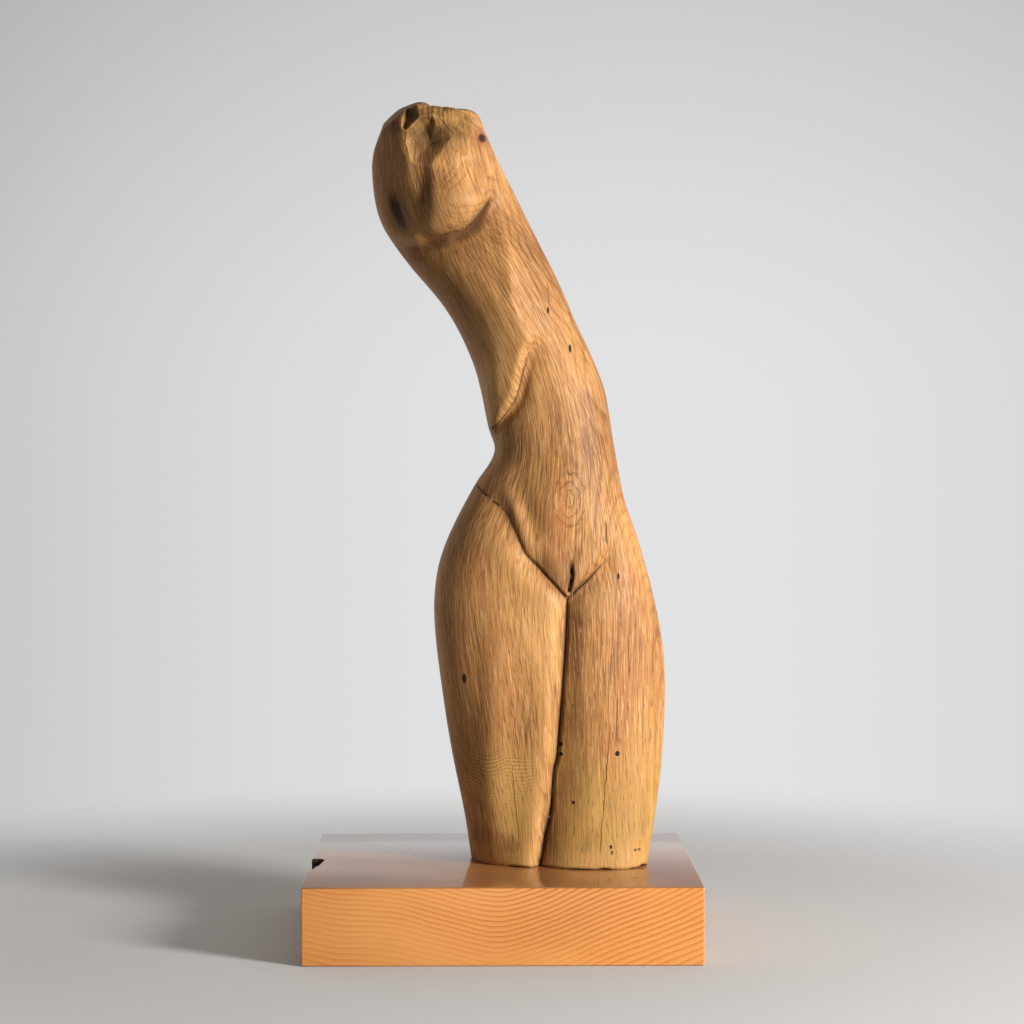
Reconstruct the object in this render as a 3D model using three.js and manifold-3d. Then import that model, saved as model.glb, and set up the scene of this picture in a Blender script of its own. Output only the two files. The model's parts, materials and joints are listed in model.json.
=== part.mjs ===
// A female torso carved from one leaning log, standing on a softwood plinth.
// Millimetres, +Z up. The figure faces -Y and +X is to the viewer's right.
// The origin is the middle of the plinth's underside.

import * as THREE from "three";
import { mergeVertices } from "three/addons/utils/BufferGeometryUtils.js";
import { RoundedBoxGeometry } from "three/addons/geometries/RoundedBoxGeometry.js";
import Module from "manifold-3d";

// Driving dimensions of the plinth.
const plinthWidth = 275;
const plinthDepth = 240;
const plinthHeight = 54;
const plinthEdgeRadius = 2.5;
const plinthEdgeSteps = 2;

// The bark pocket in the plinth's left top edge, seen from above: a flat far wall, the deepest
// point a little nearer, and a long slope that runs out towards the front.
const pocketFarWall = 5;
const pocketLength = 66;
const pocketFarDepth = 8;
const pocketDepth = 13;
const pocketDrop = 34;

// Driving dimensions of the torso, and where its feet stand on the plinth.
const torsoHeight = 546;
const feetToTheRight = 43;
const feetToTheFront = 0;

// How finely the torso is cut into facets.
const frontColumns = 34;
const backColumns = 14;
const legRows = 21;
const pelvisRows = 37;
const ribRows = 9;
const chestRows = 21;
const lidRows = 4;

// From here on every length of the torso is a share of its height. x runs to the viewer's right
// from the middle of the feet, h runs up from the sole.

// The heights between which the rows are spaced evenly. Below the first one they end on the
// line of the groin, and above the last one they rise with the rim of the cut top.
const ribStart = 0.70;
const chestStart = 0.80;

// Cubic interpolation through a few [h, value] stations, level at neither end.
function curve(stations) {
  const slope = stations.map((_, i) => {
    const below = stations[Math.max(i - 1, 0)];
    const above = stations[Math.min(i + 1, stations.length - 1)];
    return (above[1] - below[1]) / (above[0] - below[0]);
  });
  return (h) => {
    let i = stations.findIndex((s) => s[0] > h) - 1;
    if (i === -2) {
      i = stations.length - 2;
    }
    i = Math.max(i, 0);
    const [h0, v0] = stations[i];
    const [h1, v1] = stations[i + 1];
    const span = h1 - h0;
    const t = THREE.MathUtils.clamp((h - h0) / span, 0, 1);
    const turned = 1 - t;
    return v0 * turned * turned * (1 + 2 * t) + v1 * t * t * (3 - 2 * t)
      + slope[i] * span * t * turned * turned - slope[i + 1] * span * t * t * turned;
  };
}

// The outline that the torso shows from the front.
const leftEdge = curve([
  [0.000, -0.1190], [0.060, -0.1280], [0.142, -0.1445], [0.260, -0.1620], [0.340, -0.1690],
  [0.400, -0.1610], [0.453, -0.1385], [0.500, -0.1130], [0.528, -0.0935], [0.546, -0.0880],
  [0.572, -0.0965], [0.640, -0.1110], [0.690, -0.1310], [0.735, -0.1575], [0.790, -0.2040],
  [0.845, -0.2390], [0.915, -0.2505], [0.955, -0.2430],
]);
const rightEdge = curve([
  [0.000, 0.1130], [0.062, 0.1240], [0.142, 0.1340], [0.260, 0.1375], [0.340, 0.1250],
  [0.427, 0.1010], [0.480, 0.0830], [0.550, 0.0700], [0.620, 0.0580], [0.660, 0.0435],
  [0.715, 0.0180], [0.765, -0.0035], [0.870, -0.0560], [0.965, -0.1030],
]);

// How far the front and the back stand out from the plane between them.
const frontDepth = curve([
  [0.000, 0.088], [0.100, 0.083], [0.240, 0.095], [0.350, 0.100], [0.460, 0.092],
  [0.550, 0.079], [0.660, 0.078], [0.780, 0.070], [0.880, 0.066], [0.970, 0.064],
]);
const backDepth = curve([
  [0.000, 0.080], [0.100, 0.077], [0.240, 0.086], [0.380, 0.104], [0.470, 0.096],
  [0.550, 0.072], [0.700, 0.076], [0.820, 0.086], [0.970, 0.070],
]);

// How full the section is: 1 is an ellipse, less is squarer.
const fullness = curve([
  [0.000, 0.60], [0.350, 0.58], [0.550, 0.66], [0.720, 0.72], [0.860, 0.90], [1.000, 0.78],
]);

// How far the right side stands before the left one, at the share twistReach from the middle.
const twist = curve([
  [0.000, 0.024], [0.120, 0.006], [0.250, -0.006], [0.400, 0.000], [1.000, 0.000],
]);
const twistReach = 0.12;

// The line down the middle of the front: breastbone, rib ridge, navel, groin and the crease
// between the legs. One column of facets lies on it.
const frontLine = curve([
  [0.000, -0.0310], [0.080, -0.0165], [0.187, -0.0058], [0.346, 0.0042], [0.480, 0.0060],
  [0.580, -0.0180], [0.673, -0.0439], [0.734, -0.0672], [0.797, -0.0730], [0.870, -0.0917],
  [0.940, -0.1300], [1.000, -0.1600],
]);
const backLine = curve([
  [0.000, -0.0150], [0.180, 0.0000], [0.350, -0.0100], [0.500, -0.0080], [0.600, -0.0250],
  [0.750, -0.0930], [0.870, -0.1480], [1.000, -0.1700],
]);

// The plane between front and back: the hips are set back a little and the chest leans back.
const middlePlane = curve([
  [0.000, 0.000], [0.200, 0.000], [0.380, 0.004], [0.540, 0.000], [0.750, 0.008], [1.000, 0.016],
]);

const smooth = (from, to, x) => THREE.MathUtils.smoothstep(x, from, to);
const fade = (distance, reach) => Math.exp(-((distance / reach) ** 2));

// How far (x, h) lies beside a broken line, positive on the left of the line as it is followed,
// and the share of the way along it.
function toLine(x, h, line) {
  let best = { distance: Infinity, beside: 0, along: 0 };
  for (let i = 0; i + 1 < line.length; i += 1) {
    const [ax, ah] = line[i];
    const [bx, bh] = line[i + 1];
    const dx = bx - ax;
    const dh = bh - ah;
    const t = THREE.MathUtils.clamp(((x - ax) * dx + (h - ah) * dh) / (dx * dx + dh * dh), 0, 1);
    const distance = Math.hypot(x - ax - t * dx, h - ah - t * dh);
    if (distance < best.distance) {
      const side = Math.sign(dx * (h - ah) - dh * (x - ax));
      best = { distance, beside: side * distance, along: (i + t) / (line.length - 1) };
    }
  }
  return best;
}

// The groin, from the left hip down to the top of the legs and up to the right hip, as the
// height over x. One row of facets lies on it.
const groinLine = curve([
  [-0.1200, 0.5010], [-0.0956, 0.4770], [-0.0740, 0.4600], [-0.0620, 0.4342], [-0.0504, 0.4080],
  [-0.0297, 0.3858], [0.0040, 0.3480], [0.0298, 0.3722], [0.0453, 0.3890], [0.0640, 0.4090],
  [0.0950, 0.4300],
]);

// Carved lines of the front, from their upper end to their lower one.
const iliacRidge = [[-0.0749, 0.504], [-0.0581, 0.4614], [-0.0465, 0.4239], [-0.0336, 0.3955]];
const bellyValley = [[-0.0659, 0.5144], [-0.0465, 0.4498], [-0.0349, 0.4071], [-0.0142, 0.3825]];
const bellyFold = [[-0.0349, 0.4407], [0.0010, 0.4110], [0.0375, 0.4342]];
const ribEdge = [
  [-0.0180, 0.6940], [-0.0439, 0.6733], [-0.0545, 0.6400], [-0.0607, 0.6100], [-0.0930, 0.5674],
];
const ribRidge = [
  [-0.0917, 0.8698], [-0.0788, 0.8220], [-0.0698, 0.7767], [-0.0672, 0.7341], [-0.0439, 0.6733],
];
const breastEdge = [
  [-0.0917, 0.8850], [-0.0940, 0.8690], [-0.1046, 0.8500], [-0.1210, 0.8310], [-0.1490, 0.8190],
  [-0.1800, 0.8160],
];

// The height and reach of each carved form.
const creaseDepth = 0.018;
const creaseLeftReach = 0.018;
const creaseRightReach = 0.055;
const creaseTop = 0.350;
const creaseFade = 0.030;
const backCreaseShare = 0.7;
const groinDepth = 0.008;
const groinThighReach = 0.014;
const groinMoundReach = 0.030;
const rightGroinDepth = 0.013;
const rightGroinThighReach = 0.036;
const rightGroinMoundReach = 0.014;
const groinSlant = 0.70;
const groinLeftEnd = -0.125;
const groinLeftFull = -0.070;
const groinRightFull = 0.045;
const groinRightEnd = 0.080;
const groinTurnFrom = -0.010;
const groinTurnTo = 0.018;
const foldDepth = 0.004;
const foldReach = 0.013;
const valleyDepth = 0.008;
const valleyReach = 0.014;
const iliacRise = 0.006;
const iliacReach = 0.010;
const cleftDepth = 0.005;
const cleftReach = 0.005;
const cleftBottom = 0.352;
const cleftTop = 0.405;
const cleftFade = 0.015;
const belly = { x: 0.006, h: 0.490, width: 0.050, height: 0.070, rise: 0.009 };
const mound = { x: 0.004, h: 0.385, width: 0.030, height: 0.030, rise: 0.006 };
const ribStep = 0.009;
const ribStepReach = 0.110;
const ribHollow = 0.006;
const ribHollowReach = 0.014;
const ridgeRise = 0.022;
const ridgeLeftReach = 0.120;
const ridgeRightReach = 0.085;
const ridgeStart = 0.05;
const ridgeFull = 0.45;
const ridgeFading = 0.75;
const ridgeEnd = 0.6;
const breastStep = 0.017;
const breastRound = 0.030;
const breastHollow = 0.006;
const breastHollowReach = 0.040;
const breastMelt = 0.120;
const breastLeftEnd = -0.205;
const breastLeftFull = -0.165;
const breastTopFull = 0.860;
const breastTopEnd = 0.925;
const breastRightFull = -0.130;
const breastRightEnd = -0.075;
const breastOpenFrom = 0.862;
const breastOpenTo = 0.886;
const edgeSoftness = 0.009;
const crestLine = curve([
  [0.780, -0.2000], [0.850, -0.1860], [0.900, -0.1720], [0.940, -0.1800], [0.980, -0.2050],
]);
const crestSoftness = 0.010;
const crestRise = 0.024;
const crestLeftReach = 0.070;
const crestRightReach = 0.125;
const crestBottom = 0.785;
const crestFullFrom = 0.880;
const crestFullTo = 0.930;
const crestTop = 0.990;
const knotHollow = { x: -0.213, h: 0.852, width: 0.010, height: 0.024, rise: -0.008 };
const hipHollow = { x: 0.062, h: 0.381, width: 0.016, height: 0.024, rise: -0.005 };
const topBand = { x: -0.152, h: 0.974, width: 0.045, height: 0.014, rise: 0.006 };
const scoopDepth = 0.030;
const scoopX = -0.166;
const scoopHalfWidth = 0.040;
const scoopFlat = 0.35;
const scoopTop = 0.968;
const scoopDeepest = 0.938;
const scoopBottom = 0.922;
const buttock = { apart: 0.066, h: 0.385, width: 0.055, height: 0.060, rise: 0.018 };
const spineDepth = 0.008;
const spineReach = 0.022;
const spineStart = 0.32;
const spineFullFrom = 0.40;
const spineFullTo = 0.80;
const spineEnd = 0.92;

// A quarter round that falls from level, a reach away, to the full depth at the line itself.
function quarterRound(distance, reach) {
  const s = THREE.MathUtils.clamp(1 - distance / reach, 0, 1);
  return 1 - Math.sqrt(1 - s * s);
}

// Two rounded forms that meet in a line: 1 at the line, and nothing a reach away on either side.
function valley(beside, reachBefore, reachAfter) {
  const reach = beside < 0 ? reachBefore : reachAfter;
  return Math.max(1 - Math.abs(beside) / reach, 0) ** 2;
}

// The crease between the legs: the left leg rounds over quickly, the right one rolls away.
function legCrease(x, h, line) {
  return creaseDepth * (1 - smooth(creaseTop - creaseFade, creaseTop, h))
    * valley(x - line(h), creaseLeftReach, creaseRightReach);
}

// A carved line of the given depth and reach that runs out softly at both ends.
function carvedLine(x, h, line, depth, reach) {
  const { distance, along } = toLine(x, h, line);
  return depth * smooth(0, 0.35, along) * (1 - smooth(0.7, 1, along)) * fade(distance, reach);
}

// The groin, a valley that runs out at both hips. Its steep wall faces right: on the left that
// is the thigh's, on the right the mound's. Both slope, so it is narrower across than upright.
function groin(x, h) {
  const above = (h - groinLine(x)) * groinSlant;
  const left = groinDepth * smooth(groinLeftEnd, groinLeftFull, x)
    * valley(above, groinThighReach, groinMoundReach);
  const right = rightGroinDepth * (1 - smooth(groinRightFull, groinRightEnd, x))
    * valley(above, rightGroinThighReach, rightGroinMoundReach);
  const toRight = smooth(groinTurnFrom, groinTurnTo, x);
  return left * (1 - toRight) + right * toRight;
}

// The short cleft above the legs.
function cleft(x, h) {
  const within = smooth(cleftBottom - cleftFade, cleftBottom, h)
    * (1 - smooth(cleftTop - cleftFade, cleftTop, h));
  return cleftDepth * within * fade(x - frontLine(h), cleftReach);
}

// The rib cage ends in an edge that stands over the belly.
function ribOverhang(x, h) {
  const { distance, beside, along } = toLine(x, h, ribEdge);
  const swell = smooth(0, 0.25, along);
  const above = 1 - smooth(-edgeSoftness, edgeSoftness, beside);
  const raised = ribStep * (1 - smooth(0, ribStepReach, distance));
  const sunk = ribHollow * fade(distance, ribHollowReach);
  return swell * (above * raised - (1 - above) * sunk);
}

// A ridge runs down the rib cage to the tip of the ribs, with a plane on either side of it.
// At its upper end it doesn't rise; there the plane on its left falls away under the breast.
function ribCrest(x, h) {
  const { distance, beside, along } = toLine(x, h, ribRidge);
  const tent = Math.max(1 - distance / (beside < 0 ? ridgeLeftReach : ridgeRightReach), 0);
  const onBelly = smooth(-edgeSoftness, edgeSoftness, toLine(x, h, ribEdge).beside);
  const swell = smooth(ridgeStart, ridgeFull, along);
  const raised = tent * swell * (1 - onBelly) * (1 - ridgeEnd * smooth(ridgeFading, 1, along));
  const underBreast = smooth(-edgeSoftness, edgeSoftness, toLine(x, h, breastEdge).beside);
  const sunk = beside < 0 ? (1 - tent) * (1 - swell) * underBreast : 0;
  return ridgeRise * (raised - sunk);
}

// The breast rounds over to an arched edge on its lower right and melts into the chest above.
function breastOverhang(x, h) {
  const { distance, beside } = toLine(x, h, breastEdge);
  const within = smooth(breastLeftEnd, breastLeftFull, x)
    * (1 - smooth(breastTopFull, breastTopEnd, h));
  const open = smooth(breastOpenFrom, breastOpenTo, h);
  const above = Math.max(1 - smooth(-edgeSoftness, edgeSoftness, beside), open);
  const rounded = 1 - quarterRound(distance, breastRound);
  const raised = breastStep * rounded * (1 - smooth(breastRound, breastMelt, distance))
    * (1 - open * smooth(breastRightFull, breastRightEnd, x));
  const sunk = breastHollow * fade(distance, breastHollowReach);
  return within * (above * raised - (1 - above) * sunk);
}

// The crest of the breast: its front rolls off to the right, and a plane falls away to the left.
function breastCrest(x, h) {
  const beside = x - crestLine(h);
  const away = Math.hypot(beside, crestSoftness) - crestSoftness;
  const fall = Math.min(away / (beside < 0 ? crestLeftReach : crestRightReach), 1);
  const across = beside < 0 ? 1 - fall : 1 - fall ** 2;
  const under = smooth(-edgeSoftness, edgeSoftness, toLine(x, h, breastEdge).beside);
  return crestRise * across * smooth(crestBottom, crestFullFrom, h)
    * (1 - smooth(crestFullTo, crestTop, h))
    * (1 - under * smooth(breastLeftEnd, breastLeftFull, x));
}

// The scoop under the cut rim: a long roof falls inwards to its deepest line, low down.
function topScoop(x, h) {
  const across = 1 - smooth(scoopFlat, 1, Math.abs(x - scoopX) / scoopHalfWidth);
  const roof = 1 - THREE.MathUtils.clamp((h - scoopDeepest) / (scoopTop - scoopDeepest), 0, 1);
  return scoopDepth * across * roof * smooth(scoopBottom, scoopDeepest, h);
}

function bump(x, h, form) {
  return form.rise * fade((x - form.x) / form.width, 1) * fade((h - form.h) / form.height, 1);
}

// How far the front stands out beyond the plain section at (x, h).
function frontRelief(x, h) {
  const masses = [belly, mound, hipHollow, knotHollow, topBand];
  return masses.reduce((sum, form) => sum + bump(x, h, form), 0)
    - legCrease(x, h, frontLine)
    - groin(x, h)
    - carvedLine(x, h, bellyFold, foldDepth, foldReach)
    - carvedLine(x, h, bellyValley, valleyDepth, valleyReach)
    + carvedLine(x, h, iliacRidge, iliacRise, iliacReach)
    - cleft(x, h)
    + ribOverhang(x, h)
    + ribCrest(x, h)
    + breastCrest(x, h)
    - topScoop(x, h)
    + breastOverhang(x, h);
}

// How far the back stands out: buttocks, the furrow of the spine and the crease of the legs.
function backRelief(x, h) {
  const line = backLine(h);
  const left = bump(x, h, { ...buttock, x: line - buttock.apart });
  const right = bump(x, h, { ...buttock, x: line + buttock.apart });
  const furrow = smooth(spineStart, spineFullFrom, h) * (1 - smooth(spineFullTo, spineEnd, h));
  return left + right - backCreaseShare * legCrease(x, h, backLine)
    - spineDepth * furrow * fade(x - line, spineReach);
}

// The cut top: its profile from left to right, and how much it falls towards the front.
const topProfile = curve([
  [-0.243, 0.9525], [-0.232, 0.9750], [-0.220, 0.9870], [-0.205, 0.9945], [-0.190, 0.9995],
  [-0.178, 0.9980], [-0.168, 0.9915], [-0.130, 0.9905], [-0.117, 0.9885], [-0.108, 0.9750],
]);
const topFall = 0.137;
const topMiddle = new THREE.Vector2(-0.165, 0.020);

// The height of the rim at a turn, a little below the cut top all round.
const rimLeft = 0.948;
const rimRight = 0.966;
const rimFront = 0.976;
const rimBack = 0.999;

function rimHeight(turn) {
  const across = 0.5 - 0.5 * Math.cos(turn);
  const ends = rimLeft + (rimRight - rimLeft) * across;
  const side = Math.sin(turn) > 0 ? rimFront : rimBack;
  return ends + (side - ends) * Math.sqrt(Math.abs(Math.sin(turn)));
}

// The turn of a column, in radians from the left edge over the front to the right edge and back.
// The middle column of each side is drawn to that side's middle line.
function columnTurn(column, h) {
  const onFront = column < frontColumns;
  const along = onFront ? column / frontColumns : (column - frontColumns) / backColumns;
  const left = leftEdge(h);
  const right = rightEdge(h);
  const line = onFront ? frontLine(h) : backLine(h);
  const across = THREE.MathUtils.clamp((2 * line - left - right) / (right - left), -0.7, 0.7);
  const half = Math.acos(onFront ? -across : across) / Math.PI;
  const drawn = along + 4 * (half - 0.5) * along * (1 - along);
  return (onFront ? drawn : 1 + drawn) * Math.PI;
}

// The section of the log at h, as a point on it at the given turn.
const reliefFade = 0.3;
const groinRounds = 12;

function sectionPoint(turn, h) {
  const left = leftEdge(h);
  const right = rightEdge(h);
  const x = (left + right) / 2 - ((right - left) / 2) * Math.cos(turn);
  const rise = Math.abs(Math.sin(turn)) ** fullness(h);
  const shown = smooth(0, reliefFade, rise);
  const y = Math.sin(turn) > 0
    ? -frontDepth(h) * rise - frontRelief(x, h) * shown
    : backDepth(h) * rise + backRelief(x, h) * shown;
  return new THREE.Vector3(x, middlePlane(h) + y - (twist(h) * x) / twistReach, h);
}

// The height at which a column meets the groin. A column of the back takes its share of the
// heights that the two hips have.
function groinHeight(column) {
  if (column > frontColumns) {
    const across = (column - frontColumns) / backColumns;
    return groinHeight(frontColumns) * (1 - across) + groinHeight(0) * across;
  }
  let h = 0.42;
  for (let round = 0; round < groinRounds; round += 1) {
    h = (h + groinLine(sectionPoint(columnTurn(column, h), h).x)) / 2;
  }
  return h;
}

// The heights of the rows of one column, from the sole to the rim. The legs' rows bend towards
// the groin more and more, and those above it straighten out again.
function rowHeights(column) {
  const crotch = groinLine(frontLine(creaseTop));
  const bend = groinHeight(column) - crotch;
  const rim = rimHeight(columnTurn(column, chestStart));
  const bent = (h) => (h < crotch
    ? h + bend * (h / crotch) ** 2
    : h + bend * (1 - smooth(crotch, ribStart, h)));
  const zones = [
    [0, crotch, legRows], [crotch, ribStart, pelvisRows],
    [ribStart, chestStart, ribRows], [chestStart, rim, chestRows],
  ];
  const heights = [0];
  for (const [from, to, rows] of zones) {
    for (let row = 1; row <= rows; row += 1) {
      heights.push(bent(from + ((to - from) * row) / rows));
    }
  }
  return heights;
}

// A point of the lid over the cut top, the given share of the way from its middle to the rim.
function lidPoint(rim, share) {
  const x = topMiddle.x + (rim.x - topMiddle.x) * share;
  const y = topMiddle.y + (rim.y - topMiddle.y) * share;
  return new THREE.Vector3(x, y, topProfile(x) + topFall * (y - topMiddle.y));
}

function torsoGeometry() {
  const columns = frontColumns + backColumns;
  const walls = Array.from({ length: columns }, (_, column) => rowHeights(column)
    .map((h) => sectionPoint(columnTurn(column, h), h)));
  const wallRows = walls[0].length;
  const rows = wallRows + lidRows;
  const points = [];
  for (let row = 0; row < rows; row += 1) {
    for (const wall of walls) {
      const share = 1 - (row - wallRows + 1) / (lidRows + 1);
      points.push(row < wallRows ? wall[row] : lidPoint(wall[wallRows - 1], share));
    }
  }
  const soleMiddle = points.length;
  points.push(new THREE.Vector3(0, middlePlane(0), 0));
  const lidMiddle = points.length;
  points.push(lidPoint(walls[0][wallRows - 1], 0));

  const faces = [];
  for (let column = 0; column < columns; column += 1) {
    const next = (column + 1) % columns;
    faces.push(soleMiddle, next, column);
    for (let row = 0; row + 1 < rows; row += 1) {
      const low = row * columns;
      const high = low + columns;
      faces.push(low + column, low + next, high + next);
      faces.push(low + column, high + next, high + column);
    }
    const last = (rows - 1) * columns;
    faces.push(lidMiddle, last + column, last + next);
  }
  const geometry = new THREE.BufferGeometry();
  const flat = points.flatMap((p) => [p.x, p.y, p.z].map((share) => share * torsoHeight));
  geometry.setAttribute("position", new THREE.Float32BufferAttribute(flat, 3));
  geometry.setIndex(faces);
  geometry.computeVertexNormals();
  return geometry;
}

const wasm = await Module();
wasm.setup();

function toSolid(geometry) {
  const bare = geometry.clone();
  bare.deleteAttribute("normal");
  bare.deleteAttribute("uv");
  const merged = mergeVertices(bare);
  return new wasm.Manifold(new wasm.Mesh({
    numProp: 3,
    vertProperties: new Float32Array(merged.attributes.position.array),
    triVerts: new Uint32Array(merged.index.array),
  }));
}

function toGeometry(solid) {
  const mesh = solid.getMesh();
  const geometry = new THREE.BufferGeometry();
  geometry.setAttribute("position", new THREE.BufferAttribute(mesh.vertProperties, 3));
  geometry.setIndex(new THREE.BufferAttribute(mesh.triVerts, 1));
  geometry.computeVertexNormals();
  return geometry;
}

function plinthGeometry() {
  const block = new RoundedBoxGeometry(
    plinthWidth, plinthDepth, plinthHeight, plinthEdgeSteps, plinthEdgeRadius,
  );
  const side = -plinthWidth / 2;
  const outside = side - plinthEdgeRadius;
  const pocket = new THREE.Shape();
  pocket.moveTo(outside, -pocketFarWall);
  pocket.lineTo(side + pocketFarDepth, -pocketFarWall);
  pocket.lineTo(side + pocketDepth, -pocketFarWall - 0.35 * pocketLength);
  pocket.lineTo(side + 0.4 * pocketDepth, -pocketFarWall - 0.6 * pocketLength);
  pocket.lineTo(side, -pocketFarWall - pocketLength);
  pocket.lineTo(outside, -pocketFarWall - pocketLength);
  const cut = new THREE.ExtrudeGeometry(pocket, { depth: plinthHeight, bevelEnabled: false });
  cut.translate(0, 0, plinthHeight / 2 - pocketDrop);
  return toGeometry(toSolid(block).subtract(toSolid(cut)));
}

const carvedOak = new THREE.MeshStandardMaterial({ color: 0xb9834f, roughness: 0.7, metalness: 0 });
const varnishedPine = new THREE.MeshStandardMaterial({ color: 0xcf8a47, roughness: 0.3, metalness: 0 });

const sculpture = new THREE.Group();

const plinth = new THREE.Mesh(plinthGeometry(), varnishedPine);
plinth.name = "plinth";
plinth.position.set(0, 0, plinthHeight / 2);
sculpture.add(plinth);

const torso = new THREE.Mesh(torsoGeometry(), carvedOak);
torso.name = "torso";
torso.position.set(feetToTheRight, -feetToTheFront, plinthHeight);
sculpture.add(torso);

export default sculpture;
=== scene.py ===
# %% [markdown]
# # A carved oak torso on its plinth
# The real object is two pieces of wood: a leaning figure cut from one oak log, and a varnished
# softwood block under it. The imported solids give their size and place. Here each gets the crisp
# cuts, cracks and wood figure that a faceted solid leaves out.

# %% Load the solids
import json
import math
import bpy
import numpy as np
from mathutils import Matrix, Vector

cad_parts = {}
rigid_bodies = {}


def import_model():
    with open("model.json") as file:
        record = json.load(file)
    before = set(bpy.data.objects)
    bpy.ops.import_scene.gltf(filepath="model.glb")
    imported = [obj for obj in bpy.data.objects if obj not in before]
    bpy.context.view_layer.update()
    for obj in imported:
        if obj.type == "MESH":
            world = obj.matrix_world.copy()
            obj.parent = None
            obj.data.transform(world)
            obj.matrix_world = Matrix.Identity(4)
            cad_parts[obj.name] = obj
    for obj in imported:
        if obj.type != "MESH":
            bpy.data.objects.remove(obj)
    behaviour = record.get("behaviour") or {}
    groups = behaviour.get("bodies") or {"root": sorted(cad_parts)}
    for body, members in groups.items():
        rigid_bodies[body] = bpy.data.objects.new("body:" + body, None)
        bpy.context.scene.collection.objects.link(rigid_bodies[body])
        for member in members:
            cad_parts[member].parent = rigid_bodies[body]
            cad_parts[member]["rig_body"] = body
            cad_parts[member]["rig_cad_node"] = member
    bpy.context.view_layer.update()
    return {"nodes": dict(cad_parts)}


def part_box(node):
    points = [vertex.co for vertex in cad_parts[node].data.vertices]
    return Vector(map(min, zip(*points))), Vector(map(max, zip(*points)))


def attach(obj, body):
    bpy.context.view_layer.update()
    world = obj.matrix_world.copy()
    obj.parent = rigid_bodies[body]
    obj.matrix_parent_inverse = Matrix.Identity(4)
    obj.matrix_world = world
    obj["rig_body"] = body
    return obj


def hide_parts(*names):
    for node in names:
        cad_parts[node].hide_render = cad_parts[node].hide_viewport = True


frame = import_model()

# %% [markdown]
# ## Camera
# A photographer would stand a little to the left of the middle with a long lens at chest height
# of the figure. A long lens keeps the plinth's sides nearly parallel. The camera is turned with
# plain angles instead of a lens shift, so that every other view stays centred too.

# %% Place the camera
PICTURE = 1024
LENS_PIXELS = 2648
CAMERA_PLACE = (-0.0159, -1.911, 0.369)
CAMERA_DOWN = 1.904
CAMERA_RIGHT = 0.705

camera_data = bpy.data.cameras.new("camera")
camera_data.sensor_width = 36
camera_data.lens = camera_data.sensor_width * LENS_PIXELS / PICTURE
camera = bpy.data.objects.new("camera", camera_data)
camera.location = CAMERA_PLACE
camera.rotation_euler = (math.radians(90 - CAMERA_DOWN), 0, math.radians(-CAMERA_RIGHT))
bpy.context.scene.collection.objects.link(camera)
bpy.context.scene.camera = camera
bpy.context.scene.view_settings.view_transform = "Standard"
print("lens:", round(camera_data.lens, 1), "mm")

# %% [markdown]
# ## Light and floor
# One soft box stands to the right and a little in front, only slightly higher than the figure.
# It models every form from the right and leaves the left flank dark. The pale backdrop gives a
# warm fill, mostly from behind, so the floor's shadow is light while the flank stays dark.
# The floor is a disc that thins out to nothing, so no hard horizon crosses the figure.

# %% Add the floor, the key light and the room
FLOOR_RADIUS = 0.85
FLOOR_SOLID = 0.30
FLOOR_GREY = (0.415, 0.42, 0.43)
FLOOR_MATT = 0.60
KEY_DISTANCE = 2.1
KEY_AROUND = 52
KEY_ABOVE = 13
KEY_AIM = (0.0, 0.0, 0.33)
KEY_SIZE = 0.50
KEY_POWER = 89
BACKDROP = 0.77
BACKDROP_TINT = (0.99, 0.993, 1.0)
FILL_TINT = (1.0, 0.93, 0.84)
BACKDROP_FALL = 0.33
BACKDROP_MIDDLE = 0.06
SIDE_FALL = 4.2
SIDE_FALL_MOST = 0.24
FILL_FRONT = 0.058
FILL_BEHIND = 0.85
FILL_ABOVE = 0.42


def alone(obj):
    """Selects this object and nothing else, and makes it the active one."""
    bpy.ops.object.select_all(action="DESELECT")
    obj.select_set(True)
    bpy.context.view_layer.objects.active = obj


bpy.ops.object.select_all(action="DESELECT")
bpy.ops.mesh.primitive_circle_add(vertices=96, radius=FLOOR_RADIUS, fill_type="NGON")
floor = bpy.context.active_object
floor.name = "floor"

key_data = bpy.data.lights.new("soft_box", "AREA")
key_data.shape = "DISK"
key_data.size = KEY_SIZE
key_data.energy = KEY_POWER
key_data.color = (1.0, 0.965, 0.92)
key = bpy.data.objects.new("soft_box", key_data)
level = KEY_DISTANCE * math.cos(math.radians(KEY_ABOVE))
from_aim = Vector((
    level * math.sin(math.radians(KEY_AROUND)),
    -level * math.cos(math.radians(KEY_AROUND)),
    KEY_DISTANCE * math.sin(math.radians(KEY_ABOVE)),
))
key.location = Vector(KEY_AIM) + from_aim
key.rotation_euler = (-from_aim).to_track_quat("-Z", "Y").to_euler()
bpy.context.scene.collection.objects.link(key)

# %% [markdown]
# ## Shader arithmetic
# A wood pattern is a formula: how far from the heart of the log, how far along the fibre, and a
# little noise. Small wrappers let such a formula be written as one. A `Value` is the output of a
# node, and adding or multiplying two of them adds the Math node that does it.


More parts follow.
